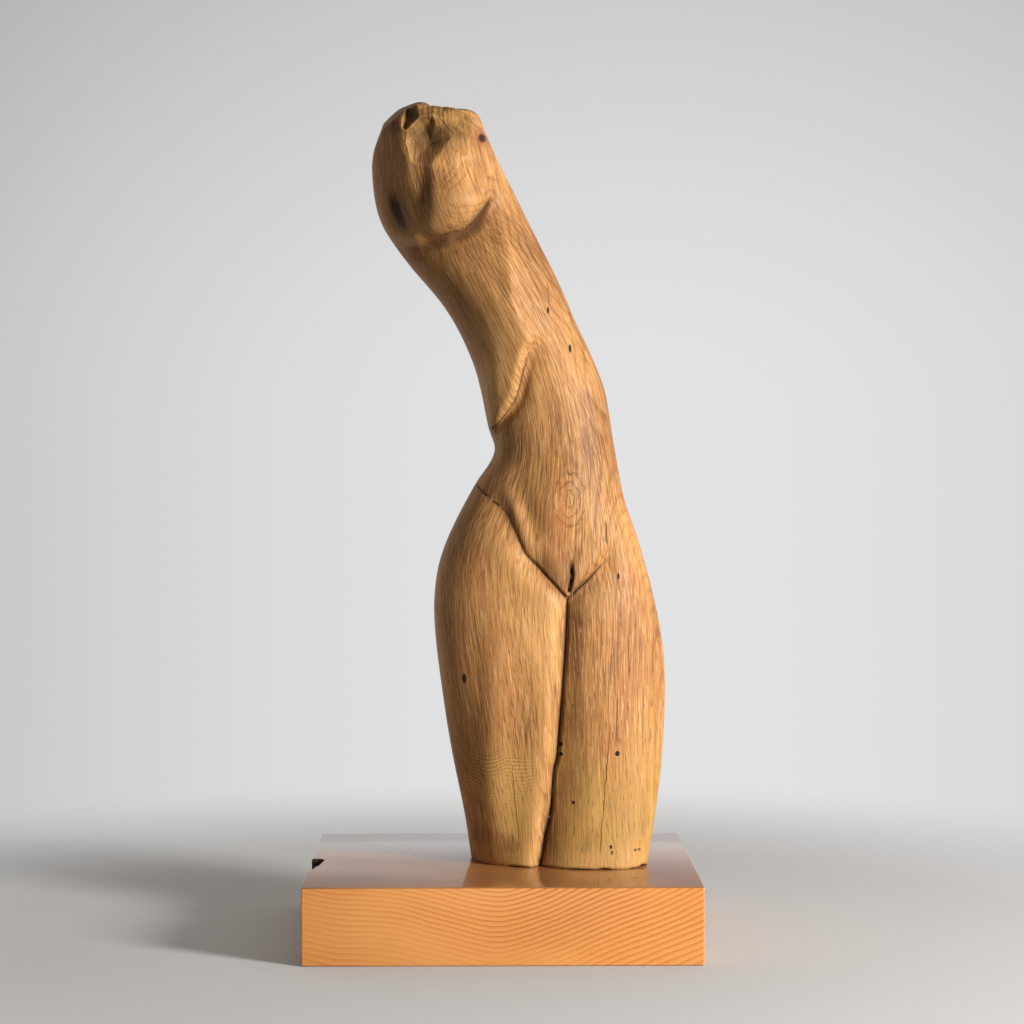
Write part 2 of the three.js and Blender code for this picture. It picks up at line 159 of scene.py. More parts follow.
# %% Wrap sockets so that formulas read as formulas
class Value:
    """The output socket of a shader node, with arithmetic."""

    def __init__(self, finish, socket):
        self.finish = finish
        self.socket = socket

    def math(self, operation, *others):
        sockets = {i: v for i, v in enumerate((self, *others))}
        return self.finish.add("ShaderNodeMath", {"operation": operation}, sockets)

    def __add__(self, other):
        return self.math("ADD", other)

    def __sub__(self, other):
        return self.math("SUBTRACT", other)

    def __rsub__(self, other):
        return self.math("MULTIPLY", -1.0).math("ADD", other)

    def __mul__(self, other):
        return self.math("MULTIPLY", other)

    def __truediv__(self, other):
        return self.math("DIVIDE", other)

    def __pow__(self, other):
        return self.math("POWER", other)

    __radd__ = __add__
    __rmul__ = __mul__

    def step(self, start, end):
        """0 before start and 1 past end, with a soft ramp between; start may be the larger."""
        settings = {"interpolation_type": "SMOOTHSTEP"}
        if start < end:
            return self.finish.add("ShaderNodeMapRange", settings, {0: self, 1: start, 2: end})
        sockets = {0: self, 1: end, 2: start, 3: 1.0, 4: 0.0}
        return self.finish.add("ShaderNodeMapRange", settings, sockets)


class Finish:
    """A material or a world under construction, with the one method that adds every node."""

    def __init__(self, owner, shader="Principled BSDF"):
        self.owner = owner
        owner.use_nodes = True
        self.tree = owner.node_tree
        self.shader = self.tree.nodes[shader]

    def add(self, kind, settings=None, sockets=None, out=0):
        node = self.tree.nodes.new(kind)
        for name, setting in (settings or {}).items():
            if name == "stops":
                ramp = node.color_ramp
                while len(ramp.elements) < len(setting):
                    ramp.elements.new(0.5)
                for element, (position, colour) in zip(ramp.elements, setting):
                    element.position = position
                    element.color = (*colour, 1)
            else:
                setattr(node, name, setting)
        for name, value in (sockets or {}).items():
            self.feed(node.inputs[name], value)
        return Value(self, node.outputs[out])

    def feed(self, socket, value):
        if isinstance(value, Value):
            self.tree.links.new(value.socket, socket)
        elif isinstance(value, tuple) and socket.type == "RGBA" and len(value) == 3:
            socket.default_value = (*value, 1)
        else:
            socket.default_value = value

    def blend(self, amount, first, second, way="MIX"):
        """Mixes two colours."""
        settings = {"data_type": "RGBA", "blend_type": way, "clamp_factor": True}
        return self.add("ShaderNodeMix", settings, {0: amount, 6: first, 7: second}, 2)

    def noise(self, place, scale, stretch=(1, 1, 1), detail=2.0, rough=0.5):
        """Noise in metres: scale is the number of blobs in a metre before the stretch."""
        sockets = {"Vector": place, "Scale": tuple(scale * s for s in stretch)}
        spread = self.add("ShaderNodeMapping", {}, sockets)
        sockets = {"Vector": spread, "Scale": 1.0, "Detail": detail, "Roughness": rough}
        return self.add("ShaderNodeTexNoise", {}, sockets)

    def split(self, vector):
        node = self.add("ShaderNodeSeparateXYZ", {}, {0: vector}).socket.node
        return [Value(self, output) for output in node.outputs]

    def bump(self, height, distance, strength, below=None):
        sockets = {"Height": height, "Distance": distance, "Strength": strength}
        if below is not None:
            sockets["Normal"] = below
        return self.add("ShaderNodeBump", {}, sockets)


print("shader wrappers ready")

# %% Finish the floor and the room
ground = Finish(bpy.data.materials.new("pale_floor"))
ground.feed(ground.shader.inputs["Base Color"], FLOOR_GREY)
ground.feed(ground.shader.inputs["Roughness"], FLOOR_MATT)
ground.feed(ground.shader.inputs["Specular IOR Level"], 0.0)
ground_place = ground.add("ShaderNodeTexCoord", {}, {}, "Object")
from_middle = ground.add("ShaderNodeVectorMath", {"operation": "LENGTH"}, {0: ground_place}, "Value")
ground.feed(ground.shader.inputs["Alpha"], from_middle.step(FLOOR_RADIUS * 0.97, FLOOR_SOLID))
floor.data.materials.append(ground.owner)

room = Finish(bpy.data.worlds.new("room"), "Background")
bpy.context.scene.world = room.owner
direction = room.add("ShaderNodeTexCoord", {}, {}, "Object")
aside, behind, above = room.split(direction)
camera_ray = room.add("ShaderNodeLightPath", {}, {}, "Is Camera Ray")
glossy_ray = room.add("ShaderNodeLightPath", {}, {}, "Is Glossy Ray")
seen_directly = camera_ray.math("MAXIMUM", glossy_ray)
# What the camera and reflections see of the backdrop is darker upwards and to the sides: painted
# falloff of light.
off_middle = aside - BACKDROP_MIDDLE
darker_side = (off_middle * off_middle * SIDE_FALL).math("MINIMUM", SIDE_FALL_MOST)
seen = (BACKDROP - above.step(0.0, 0.32) * BACKDROP_FALL) * (1.0 - darker_side)
fill = FILL_FRONT + behind.step(-0.20, 0.80) * FILL_BEHIND + above.step(0.35, 0.95) * FILL_ABOVE
room.feed(room.shader.inputs["Strength"], fill + (seen - fill) * seen_directly)
room.feed(room.shader.inputs["Color"], room.blend(seen_directly, FILL_TINT, BACKDROP_TINT))
print("floor and room ready")

# %% [markdown]
# ## The torso's body
# The carver started from a log and worked from broad planes to fine cuts, and so does this
# piece. The solid is already the broad form. Its triangles are joined to quads, because a
# subdivided grid of quads stays even, and two rounds of subdivision make it smooth. The sole's
# edge is creased first, so that the feet stay flat on the plinth.

# %% Turn the solid into a fine even mesh
SMOOTHING_ROUNDS = 2
SOLE_TOLERANCE = 0.0005
FEET_FROM_LEFT = 0.2507

lowest, highest = (Vector(corner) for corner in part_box("torso"))
height = highest.z - lowest.z
foot_place = Vector((lowest.x + FEET_FROM_LEFT * height, 0.0, lowest.z))

torso = frame["nodes"]["torso"].copy()
torso.data = torso.data.copy()
torso.name = "carved_torso"
torso.parent = None
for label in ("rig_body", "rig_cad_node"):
    del torso[label]
bpy.context.scene.collection.objects.link(torso)
torso.data.materials.clear()

alone(torso)
bpy.ops.object.mode_set(mode="EDIT")
bpy.ops.mesh.select_all(action="SELECT")
bpy.ops.mesh.remove_doubles(threshold=0.00001)
bpy.ops.mesh.tris_convert_to_quads(face_threshold=math.pi, shape_threshold=math.pi)
bpy.ops.object.mode_set(mode="OBJECT")
quads = sum(len(face.vertices) == 4 for face in torso.data.polygons)
print("torso faces:", len(torso.data.polygons), "of them quads:", quads)


def corners(mesh):
    """The mesh's vertices as rows of x, y, z."""
    flat = np.empty(len(mesh.vertices) * 3)
    mesh.vertices.foreach_get("co", flat)
    return flat.reshape(-1, 3)


def put_back(mesh, places):
    """Moves the mesh's vertices to these rows of x, y, z."""
    mesh.vertices.foreach_set("co", places.ravel())
    mesh.update()


def face_middles(mesh):
    """The middles of the mesh's faces as rows of x, y, z."""
    flat = np.empty(len(mesh.polygons) * 3)
    mesh.polygons.foreach_get("center", flat)
    return flat.reshape(-1, 3)


ends = np.empty(len(torso.data.edges) * 2, dtype=np.int32)
torso.data.edges.foreach_get("vertices", ends)
end_heights = corners(torso.data)[ends.reshape(-1, 2), 2]
on_sole = (end_heights < lowest.z + SOLE_TOLERANCE).all(axis=1)
sharpness = torso.data.attributes.new("crease_edge", "FLOAT", "EDGE")
sharpness.data.foreach_set("value", on_sole.astype(float))

smoothing = torso.modifiers.new("smoothing", "SUBSURF")
smoothing.levels = SMOOTHING_ROUNDS
smoothing.render_levels = SMOOTHING_ROUNDS
bpy.ops.object.modifier_apply(modifier="smoothing")
print("torso triangles:", 2 * len(torso.data.polygons))

# %% [markdown]
# ## Places on the figure
# Every cut is placed by two shares of the figure's height: x runs to the right from the middle
# of the feet, h runs up from the sole. A curved cut is a few chosen points with a smooth bow
# through them. For each vertex we then need its distance from that bow, the side on which it
# lies, and how far along it is.


# %% Measure every vertex against a curved cut
def bow(points, pieces=12):
    """A smooth line through the points, as many small steps."""
    knots = np.array(points, dtype=float)
    padded = np.vstack([2 * knots[0] - knots[1], knots, 2 * knots[-1] - knots[-2]])
    line = []
    for i in range(len(knots) - 1):
        a, b, c, d = padded[i:i + 4]
        for t in np.linspace(0, 1, pieces, endpoint=False):
            line.append(0.5 * (2 * b + (c - a) * t + (2 * a - 5 * b + 4 * c - d) * t ** 2
                               + (3 * b - a - 3 * c + d) * t ** 3))
    return np.array(line + [knots[-1]])


def beside_line(x, h, line):
    """Distance to the line, positive on its left as it is followed, the share along it, and the
    nearest place on it."""
    near = np.full(x.shape, np.inf)
    side = np.zeros(x.shape)
    along = np.zeros(x.shape)
    spot = np.zeros((2, *x.shape))
    steps = np.diff(line, axis=0)
    for i, ((ax, ah), (dx, dh)) in enumerate(zip(line[:-1], steps)):
        t = np.clip(((x - ax) * dx + (h - ah) * dh) / (dx * dx + dh * dh), 0, 1)
        away = np.hypot(x - ax - t * dx, h - ah - t * dh)
        closer = away < near
        near = np.where(closer, away, near)
        side = np.where(closer, np.sign(dx * (h - ah) - dh * (x - ax)), side)
        along = np.where(closer, (i + t) / len(steps), along)
        spot = np.where(closer, (ax + t * dx, ah + t * dh), spot)
    return near * side, along, spot


def ease(start, end, value):
    """0 at start, 1 at end, with a soft ramp between."""
    t = np.clip((value - start) / (end - start), 0, 1)
    return t * t * (3 - 2 * t)


def hill(x, h, middle, reach):
    """1 in the middle of an oval, fading out over its reach across and up."""
    return np.exp(-((x - middle[0]) / reach[0]) ** 2 - ((h - middle[1]) / reach[1]) ** 2)


def shares(mesh):
    """The place of every vertex as shares of the height, and its normal."""
    places = (corners(mesh) - np.array(foot_place)) / height
    flat = np.empty(len(mesh.vertices) * 3)
    mesh.vertices.foreach_get("normal", flat)
    return places[:, 0], places[:, 1], places[:, 2], flat.reshape(-1, 3)


def push(mesh, distance):
    """Moves every vertex out along its normal by this distance in millimetres."""
    put_back(mesh, corners(mesh) + shares(mesh)[3] * (distance / 1000)[:, None])


GROIN = [(-0.0985, 0.479), (-0.074, 0.460), (-0.062, 0.4342), (-0.0504, 0.408),
         (-0.0297, 0.3858), (0.004, 0.348)]
GROIN_RIGHT = [(0.0645, 0.4097), (0.0453, 0.389), (0.0298, 0.3722), (0.0155, 0.3593), (0.004, 0.348)]
HIP_CRACK = [(-0.1163, 0.4989), (-0.1098, 0.4911), (-0.1021, 0.4834), (-0.0956, 0.4769)]
LEG_CREASE = [(0.004, 0.348), (0.0017, 0.2947), (-0.0025, 0.23), (-0.0058, 0.187), (-0.009, 0.145),
              (-0.0133, 0.123), (-0.0165, 0.080), (-0.0197, 0.063), (-0.0252, 0.0375), (-0.031, 0.0)]
CLEFT = [(0.0078, 0.4032), (0.0085, 0.391), (0.0091, 0.3787), (0.0075, 0.366), (0.0055, 0.354)]
RIB_EDGE = [(-0.0439, 0.6733), (-0.0525, 0.642), (-0.0607, 0.610), (-0.0715, 0.5905),
            (-0.083, 0.576), (-0.093, 0.5674)]
BREAST_EDGE = [(-0.0925, 0.8700), (-0.1046, 0.8517), (-0.1137, 0.8401), (-0.1214, 0.831),
               (-0.1318, 0.8233), (-0.1486, 0.8194)]
RIGHT_LEDGE = [(0.0525, 0.4515), (0.0540, 0.4400), (0.0535, 0.4290), (0.0560, 0.4150)]
RIB_RIDGE = [(-0.0905, 0.8660), (-0.0840, 0.8426), (-0.0788, 0.8220), (-0.0730, 0.7974),
             (-0.0698, 0.7767), (-0.0672, 0.7341), (-0.0568, 0.7018), (-0.0450, 0.6760)]

SURFACE = torso.data
print("vertices:", len(SURFACE.vertices))

# %% [markdown]
# ## Finer mesh where the carving is crisp
# The cut top and both sides of every carved line need twice as fine a mesh as the rest. Only
# the faces there are selected and subdivided once more, so the whole stays light.

# %% Subdivide the top and the strips beside the lines
FINE_FRONT_FROM = 0.918
FINE_ALL_FROM = 0.980
FINE_BESIDE = 0.0064

middles = (face_middles(torso.data) - np.array(foot_place)) / height
near_line = np.full(len(middles), np.inf)
for points in (GROIN, GROIN_RIGHT, CLEFT, LEG_CREASE, RIB_EDGE, BREAST_EDGE, RIB_RIDGE):
    away = beside_line(middles[:, 0], middles[:, 2], bow(points, 4))[0]
    near_line = np.minimum(near_line, np.abs(away))
on_front = middles[:, 1] < 0
at_top = (middles[:, 2] > FINE_ALL_FROM) | ((middles[:, 2] > FINE_FRONT_FROM) & on_front)
wanted = at_top | ((near_line < FINE_BESIDE) & on_front)
alone(torso)
bpy.ops.object.mode_set(mode="EDIT")
bpy.ops.mesh.select_all(action="DESELECT")
bpy.ops.object.mode_set(mode="OBJECT")
torso.data.polygons.foreach_set("select", wanted)
bpy.ops.object.mode_set(mode="EDIT")
bpy.ops.mesh.select_mode(type="FACE")
bpy.ops.mesh.subdivide(number_cuts=1)
bpy.ops.object.mode_set(mode="OBJECT")
triangles = sum(len(face.vertices) - 2 for face in torso.data.polygons)
print("torso triangles:", triangles)

# %% [markdown]
# ## The sawn and chiselled top
# The top was cut with a few strokes of a wide chisel, and each stroke left a flat facet. A facet
# is a plane, and the wood beyond it is gone. So the top is first raised a little, because the
# subdivision rounded it, and then cut back by one plane after another: that gives crisp edges.

# %% Cut the top with planes
TOP_RAISE = 0.0016
TOP_FACETS = {
    "flat top": ((-0.145, 0.020, 0.9885), (0.075, -0.137, 1.0)),
    "right corner": ((-0.1150, 0.000, 0.9730), (0.78, -0.22, 0.57)),
    "front band": ((-0.140, -0.0560, 0.9690), (0.12, -0.83, 0.56)),
    "crown": ((-0.1970, 0.000, 0.9890), (-0.35, -0.16, 0.93)),
    "left brow": ((-0.2220, 0.000, 0.9735), (-0.66, -0.16, 0.74)),
    "left cheek": ((-0.2372, 0.000, 0.9550), (-0.93, -0.10, 0.36)),
    "back slope": ((-0.1700, 0.0800, 0.9950), (0.05, 0.60, 0.80)),
}


def cut_with_plane(places, point, normal, region):
    """Moves what stands beyond the plane back onto it."""
    normal = np.array(normal) / np.linalg.norm(normal)
    beyond = np.clip((places - np.array(point)) @ normal, 0, None) * region
    return places - beyond[:, None] * normal


places = (corners(SURFACE) - np.array(foot_place)) / height
places[:, 2] += TOP_RAISE / height * ease(0.93, 0.965, places[:, 2])
cap = ease(-0.172, -0.178, places[:, 0])
near_top = ease(0.925, 0.945, places[:, 2])
for name, (point, normal) in TOP_FACETS.items():
    region = near_top * (1 - cap if name == "flat top" else 1)
    places = cut_with_plane(places, point, normal, region)
places[:, 2] = np.minimum(places[:, 2], 1.0)
put_back(SURFACE, places * height + np.array(foot_place))
print("top facets:", len(TOP_FACETS))

# %% [markdown]
# ## The chisel's facets
# On the front of the top the chisel bit in from several sides: a narrow notch on the left, a
# broad scoop under a torn band, and flat strokes between them. Each stroke is a triangle with
# a depth at its three corners. A vertex on the front is moved to the depth of the triangle that
# covers it, so the strokes meet in straight sharp edges.

# %% Cut the facets on the front of the top
CHISEL_POINTS = {
    "notch lip": (-0.2065, 0.9790, -23.5), "notch top": (-0.2030, 0.9800, -19.0),
    "notch foot": (-0.2040, 0.9570, -24.0), "notch corner": (-0.2105, 0.9530, -29.8),
    "sill": (-0.2035, 0.9510, -31.0), "crest left": (-0.1895, 0.9860, -25.5),
    "crest low": (-0.1860, 0.9690, -30.5), "band left": (-0.1686, 0.9707, -32.3),
    "band rim left": (-0.1680, 0.9840, -27.0), "band rim": (-0.1438, 0.9820, -25.5),
    "band rim right": (-0.1225, 0.9790, -16.5), "band foot": (-0.1660, 0.9600, -32.0),
    "band foot middle": (-0.1438, 0.9600, -31.0), "band foot right": (-0.1177, 0.9560, -24.5),
    "scoop roof": (-0.1790, 0.9537, -27.5), "scoop left": (-0.1920, 0.9380, -28.5),
    "scoop deep": (-0.1720, 0.9360, -27.0), "scoop right": (-0.1438, 0.9440, -31.0),
    "scoop end": (-0.1210, 0.9440, -30.0), "sill low": (-0.2045, 0.9340, -33.2),
    "breast left": (-0.1950, 0.9080, -36.6), "breast top": (-0.1700, 0.9050, -42.2),
    "breast middle": (-0.1450, 0.9060, -41.6), "breast right": (-0.1230, 0.9180, -36.2),
}
CHISEL_STROKES = [
    ("notch lip", "notch top", "notch corner"), ("notch top", "notch foot", "notch corner"),
    ("notch top", "crest left", "notch foot"), ("crest left", "crest low", "notch foot"),
    ("notch corner", "notch foot", "sill"), ("notch foot", "crest low", "sill"),
    ("crest left", "band rim left", "crest low"), ("band rim left", "band left", "crest low"),
    ("sill", "crest low", "scoop roof"), ("crest low", "band left", "scoop roof"),
    ("band left", "band foot", "scoop roof"), ("sill", "scoop roof", "sill low"),
    ("scoop roof", "scoop left", "sill low"), ("band rim left", "band rim", "band left"),
    ("band rim", "band foot middle", "band left"), ("band left", "band foot middle", "band foot"),
    ("band rim", "band rim right", "band foot middle"),
    ("band rim right", "band foot right", "band foot middle"),
    ("band foot", "scoop deep", "scoop roof"), ("scoop roof", "scoop deep", "scoop left"),
    ("band foot", "scoop right", "scoop deep"), ("band foot", "band foot middle", "scoop right"),
    ("band foot middle", "scoop end", "scoop right"),
    ("band foot middle", "band foot right", "scoop end"),
    ("sill low", "scoop left", "breast left"), ("scoop left", "scoop deep", "breast left"),
    ("scoop deep", "breast top", "breast left"), ("scoop deep", "scoop right", "breast top"),
    ("scoop right", "breast middle", "breast top"), ("scoop right", "scoop end", "breast middle"),
    ("scoop end", "breast right", "breast middle"),
]


def inside_triangle(x, h, corners_xh):
    """The three shares of each place in a triangle, all positive inside it."""
    (ax, ah), (bx, bh), (cx, ch) = corners_xh
    whole = (bh - ch) * (ax - cx) + (cx - bx) * (ah - ch)
    first = ((bh - ch) * (x - cx) + (cx - bx) * (h - ch)) / whole
    second = ((ch - ah) * (x - cx) + (ax - cx) * (h - ch)) / whole
    return first, second, 1 - first - second


x, y, h, normals = shares(SURFACE)
places = corners(SURFACE)
cut_fresh = np.zeros(len(x))
facing_front = ease(0.0, 0.15, -normals[:, 1]) * (y < 0.0)
for stroke in CHISEL_STROKES:
    points = [CHISEL_POINTS[name] for name in stroke]
    parts = inside_triangle(x, h, [point[:2] for point in points])
    covered = (np.min(parts, axis=0) > -0.001) & (facing_front > 0)
    depth = sum(part * point[2] for part, point in zip(parts, points)) / 1000
    places[:, 1] = np.where(covered, places[:, 1] + (depth - places[:, 1]) * facing_front, places[:, 1])
    cut_fresh[covered] = 1
put_back(SURFACE, places)
print("strokes:", len(CHISEL_STROKES), "vertices cut:", int(cut_fresh.sum()))

# %% [markdown]
# ## The carved lines
# Each line was cut with a V tool or left by a chisel that stopped. The solid already has the
# valleys, so a line only needs its sharp bottom. Depths and widths are in millimetres. The ribs
# and the breast end in an edge that stands over the wood below: there the cut drops steeply on
# one side and rises slowly again. Vertices close to a line are first slid onto it, or the
# cut would follow the mesh in small steps.

# %% Cut the lines and sharpen the two standing edges
SNAP_WITHIN = 0.65
DROP_WITHIN = 1.4

x, y, h, normals = shares(SURFACE)
front = ease(0.10, 0.40, -normals[:, 1])
places = corners(SURFACE)
for points in (RIB_EDGE, BREAST_EDGE, LEG_CREASE, GROIN, GROIN_RIGHT, CLEFT):
    away, along, spot = beside_line(x, h, bow(points))
    close = (np.abs(away) * height * 1000 < SNAP_WITHIN) & (front > 0.5) & (along > 0) & (along < 1)
    places[close, 0] = spot[0, close] * height + foot_place.x
    places[close, 2] = spot[1, close] * height + foot_place.z
put_back(SURFACE, places)
x, y, h, normals = shares(SURFACE)


def groove(points, depth, before, after, start=0.15, end=0.0):
    """A cut with its depth, and its half width on the right and on the left of the line as it
    is followed; start and end are the shares of it that run out."""
    away, along, _ = beside_line(x, h, bow(points))
    reach = np.clip(1 - np.abs(away) * height * 1000 / np.where(away < 0, before, after), 0, 1)
    fade = ease(0, max(start, 0.001), along) * (1 - ease(1 - max(end, 0.001), 1, along))
    return -depth * reach * fade * front


def standing_edge(points, drop, hollow, lip, roll, start, end):
    """An edge on the right of the line: a steep drop to its left that rises again over the
    hollow's width, and a lip that stands out and rolls back over the roll's width."""
    away, along, _ = beside_line(x, h, bow(points))
    away = away * height * 1000
    fade = ease(0, start, along) * (1 - ease(1 - end, 1, along))
    below = -drop * np.clip(away / DROP_WITHIN, 0, 1) * np.clip(1 - away / hollow, 0, 1) ** 1.3
    above = lip * np.clip(1 + away / roll, 0, 1) ** 2
    return np.where(away > 0.05, below, above) * fade * front


cuts = [
    groove(GROIN, 1.1, 2.0, 2.0, start=0.90),
    groove(GROIN_RIGHT, 1.3, 1.8, 1.8, start=0.5),
    groove(HIP_CRACK, 0.8, 1.5, 1.5, start=0.3, end=0.3),
    groove(LEG_CREASE, 2.4, 1.6, 2.6, start=0.02),
    groove(CLEFT, 4.0, 1.7, 1.7, start=0.45, end=0.1),
    groove(RIGHT_LEDGE, 1.0, 3.5, 1.2, start=0.3, end=0.2),
    groove(RIB_RIDGE, -1.1, 9.0, 9.0, start=0.1, end=0.1),
    standing_edge(RIB_EDGE, 2.4, 7.0, 0.4, 8.0, 0.12, 0.02),
    standing_edge(BREAST_EDGE, 3.4, 9.0, 0.5, 10.0, 0.20, 0.55),
]
fullness = [((-0.0930, 0.110), (0.022, 0.110), 3.2), ((-0.0850, 0.250), (0.020, 0.090), 1.6),
            ((-0.0900, 0.625), (0.012, 0.035), 1.8), ((-0.1830, 0.878), (0.011, 0.040), -2.6),
            ((-0.1450, 0.868), (0.024, 0.030), 1.2)]
planes = sum(amount * hill(x, h, middle, reach) * front for middle, reach, amount in fullness)
push(SURFACE, sum(cuts) + planes)
print("deepest cut:", round(-min(cut.min() for cut in cuts), 1), "mm")

# %% [markdown]
# A carver rubs the rim of the ribs with a fine stone. The vertices that were slid onto that line
# left uneven rows beside it, and two light rounds of smoothing do what the stone does.

# %% Even out the mesh beside the ribs' edge
EVEN_BESIDE = 4.5
EVEN_ROUNDS = 2

away, along, _ = beside_line(x, h, bow(RIB_EDGE))
beside_ribs = (np.abs(away) * height * 1000 < EVEN_BESIDE) & (front > 0.5)
alone(torso)
bpy.ops.object.mode_set(mode="EDIT")
bpy.ops.mesh.select_mode(type="VERT")
bpy.ops.mesh.select_all(action="DESELECT")
bpy.ops.object.mode_set(mode="OBJECT")
SURFACE.vertices.foreach_set("select", beside_ribs)
bpy.ops.object.mode_set(mode="EDIT")
bpy.ops.mesh.vertices_smooth(factor=0.5, repeat=EVEN_ROUNDS)
bpy.ops.object.mode_set(mode="OBJECT")
print("vertices evened out:", int(beside_ribs.sum()))

# %% [markdown]
# ## Tool marks
# A gouge leaves long shallow troughs with low ridges between them, even after rubbing down. The
# troughs are the cells round a scattered set of points, stretched along the grain. On the front
# of the cut top the chisel skipped and tore the wood, so that band is much rougher.


# %% Leave the marks of the gouge and the chisel
def scatter(cell):
    """A repeatable pseudo-random pair of numbers between 0 and 1 for each whole-numbered cell."""
    mixed = cell[..., 0] * 127.1 + cell[..., 1] * 311.7
    pair = np.stack([np.sin(mixed) * 43758.5453, np.sin(mixed + 74.7) * 24634.6345], axis=-1)
    return pair - np.floor(pair)


def gouge_marks(u, v):
    """0 in the middle of a trough, rising towards 1 on the ridges between troughs."""
    spot = np.stack([u, v], axis=-1)
    base = np.floor(spot)
    nearest = np.full(u.shape, 9.0)
    for i in (-1, 0, 1):
        for j in (-1, 0, 1):
            cell = base + (i, j)
            away = ((spot - cell - scatter(cell)) ** 2).sum(axis=-1)
            nearest = np.minimum(nearest, away)
    return np.clip(nearest, 0, 1)


MARK_WIDTH = 13.0
MARK_LENGTH = 34.0
BODY_MARK = 0.55
LEG_MARK = 0.30
BAND_TEAR = 0.9

x, y, h, normals = shares(SURFACE)
front = ease(0.10, 0.40, -normals[:, 1])
girth = np.arctan2(y, x - np.interp(h, [0, 0.45, 0.65, 1.0], [0, 0, -0.04, -0.17])) * 65
lengthwise = h * height * 1000
marks = gouge_marks(girth / MARK_WIDTH, lengthwise / MARK_LENGTH)
coarse = gouge_marks(girth / MARK_WIDTH / 2.1 + 5, lengthwise / MARK_LENGTH / 1.7 + 3)
amount = LEG_MARK + (BODY_MARK - LEG_MARK) * ease(0.45, 0.62, h)
amount = amount * ease(0.004, 0.02, h) * (1 - ease(0.95, 0.97, h))
tear = gouge_marks(x * height * 1000 / 2.6, (h * height * 1000 + x * 90) / 6.5)
torn = ease(0.955, 0.962, h) * front * ease(-0.185, -0.170, x)
push(SURFACE, (0.5 * marks + 0.9 * coarse - 0.6) * amount - BAND_TEAR * tear * torn)
print("gouge marks up to", BODY_MARK, "mm")

# %% [markdown]
# ## The sawn feet
# The saw left the feet uneven, so the rim of the sole touches the plinth only here and there.
# Between those places a thin dark gap shows. The rim is lifted by a few waves and some chips,
# each with its place, its reach and its height in millimetres.

# %% Lift and chip the rim of the sole
RIM_HEIGHT = 0.010
WAVE_LIFT = 0.35
CHIPS = [((0.098, -0.065), 0.011, 3.0), ((0.086, -0.075), 0.007, 1.8), ((-0.060, -0.060), 0.020, 1.4),
         ((-0.095, -0.045), 0.012, 1.0), ((0.020, -0.085), 0.022, 1.1), ((0.052, -0.090), 0.010, 1.5),
         ((-0.030, -0.070), 0.008, 1.9), ((-0.110, 0.030), 0.020, 1.5), ((0.060, 0.080), 0.025, 1.5)]

x, y, h, normals = shares(SURFACE)
around = np.arctan2(y, x)
outward = ease(0.55, 0.95, np.hypot(x / 0.120, y / 0.085))
lift = WAVE_LIFT * np.clip(np.sin(around * 7 + 1.3) * 0.6 + np.sin(around * 17) * 0.4, 0, 1)
for (chip_x, chip_y), reach, depth in CHIPS:
    lift = np.maximum(lift, depth * np.exp(-((x - chip_x) ** 2 + (y - chip_y) ** 2) / reach ** 2))
places = corners(SURFACE)
places[:, 2] += lift / 1000 * outward * (1 - ease(0, RIM_HEIGHT, h))
put_back(SURFACE, places)
print("rim lifted by up to", round(float(lift.max()), 1), "mm")

# %% [markdown]
# ## Sharp lines for the finish
# A cut half a millimetre wide is finer than the mesh. Its place is therefore stored as a signed
# distance on each vertex. Between two vertices on either side of the line, that distance passes
# through zero exactly on the line, and the finish can draw it as sharp as it likes.

# %% Store the distance to the nearest carved line
FINE_LINES = [
    (GROIN, 0.50, 0.9, 0.98, 0.0), (GROIN_RIGHT, 0.45, 1.0, 0.6, 0.0), (HIP_CRACK, 0.40, 0.9, 0.2, 0.2),
    (LEG_CREASE, 0.62, 1.0, 0.0, 0.0), (CLEFT, 1.05, 1.0, 0.55, 0.25), (RIB_EDGE, 0.45, 0.8, 0.20, 0.0),
    (BREAST_EDGE, 0.60, 0.45, 0.10, 0.5), (RIGHT_LEDGE, 0.45, 0.7, 0.3, 0.2),
]

x, y, h, normals = shares(SURFACE)
line_side = np.full(len(x), 99.0)
line_strength = np.zeros(len(x))
for points, half_width, strength, start, end in FINE_LINES:
    away, along, _ = beside_line(x, h, bow(points))
    away = away * height * 1000 / half_width
    fade = ease(0, start + 0.001, along) * (1 - ease(1 - end - 0.001, 1, along))
    closer = np.abs(away) < np.abs(line_side)
    line_side = np.where(closer, away, line_side)
    line_strength = np.where(closer, strength * fade * front, line_strength)


def store(name, values):
    """Keeps one number for each vertex under this name."""
    mark = SURFACE.attributes.new(name, "FLOAT", "POINT")
    mark.data.foreach_set("value", values.astype(float))


store("line_side", line_side)
store("line_strength", line_strength)
print("vertices beside a line:", int((np.abs(line_side) < 3).sum()))

# %% [markdown]
# ## The log's own directions
# Wood figure follows the tree, not the carving. Each vertex remembers where it sat in the log:
# how far across, how deep, and how far along. The tree's heart lies to the left and behind, so
# the rings cross the front as upright lines. Where the surface bulges or dips, they close into
# an eye, as at the belly and on the breast; a number of millimetres is added there.

# %% Remember where each point sat in the log
LEAN = [(0.0, -0.004), (0.2, 0.000), (0.40, 0.004), (0.50, 0.004), (0.58, -0.008), (0.68, -0.042),
        (0.80, -0.112), (0.90, -0.158), (1.0, -0.190)]
LOG_RADIUS = 0.062
DEPTH_SQUEEZE = 0.15
HEART_LEFT = 0.115
HEART_BEHIND = 0.045
EYES = [((-0.160, 0.850), (0.040, 0.045), 15.0),
        ((-0.125, 0.420), (0.035, 0.050), 11.0), ((0.050, 0.135), (0.020, 0.060), 5.0),
        ((-0.060, 0.130), (0.045, 0.070), 8.0), ((0.020, 0.600), (0.030, 0.060), 5.0)]

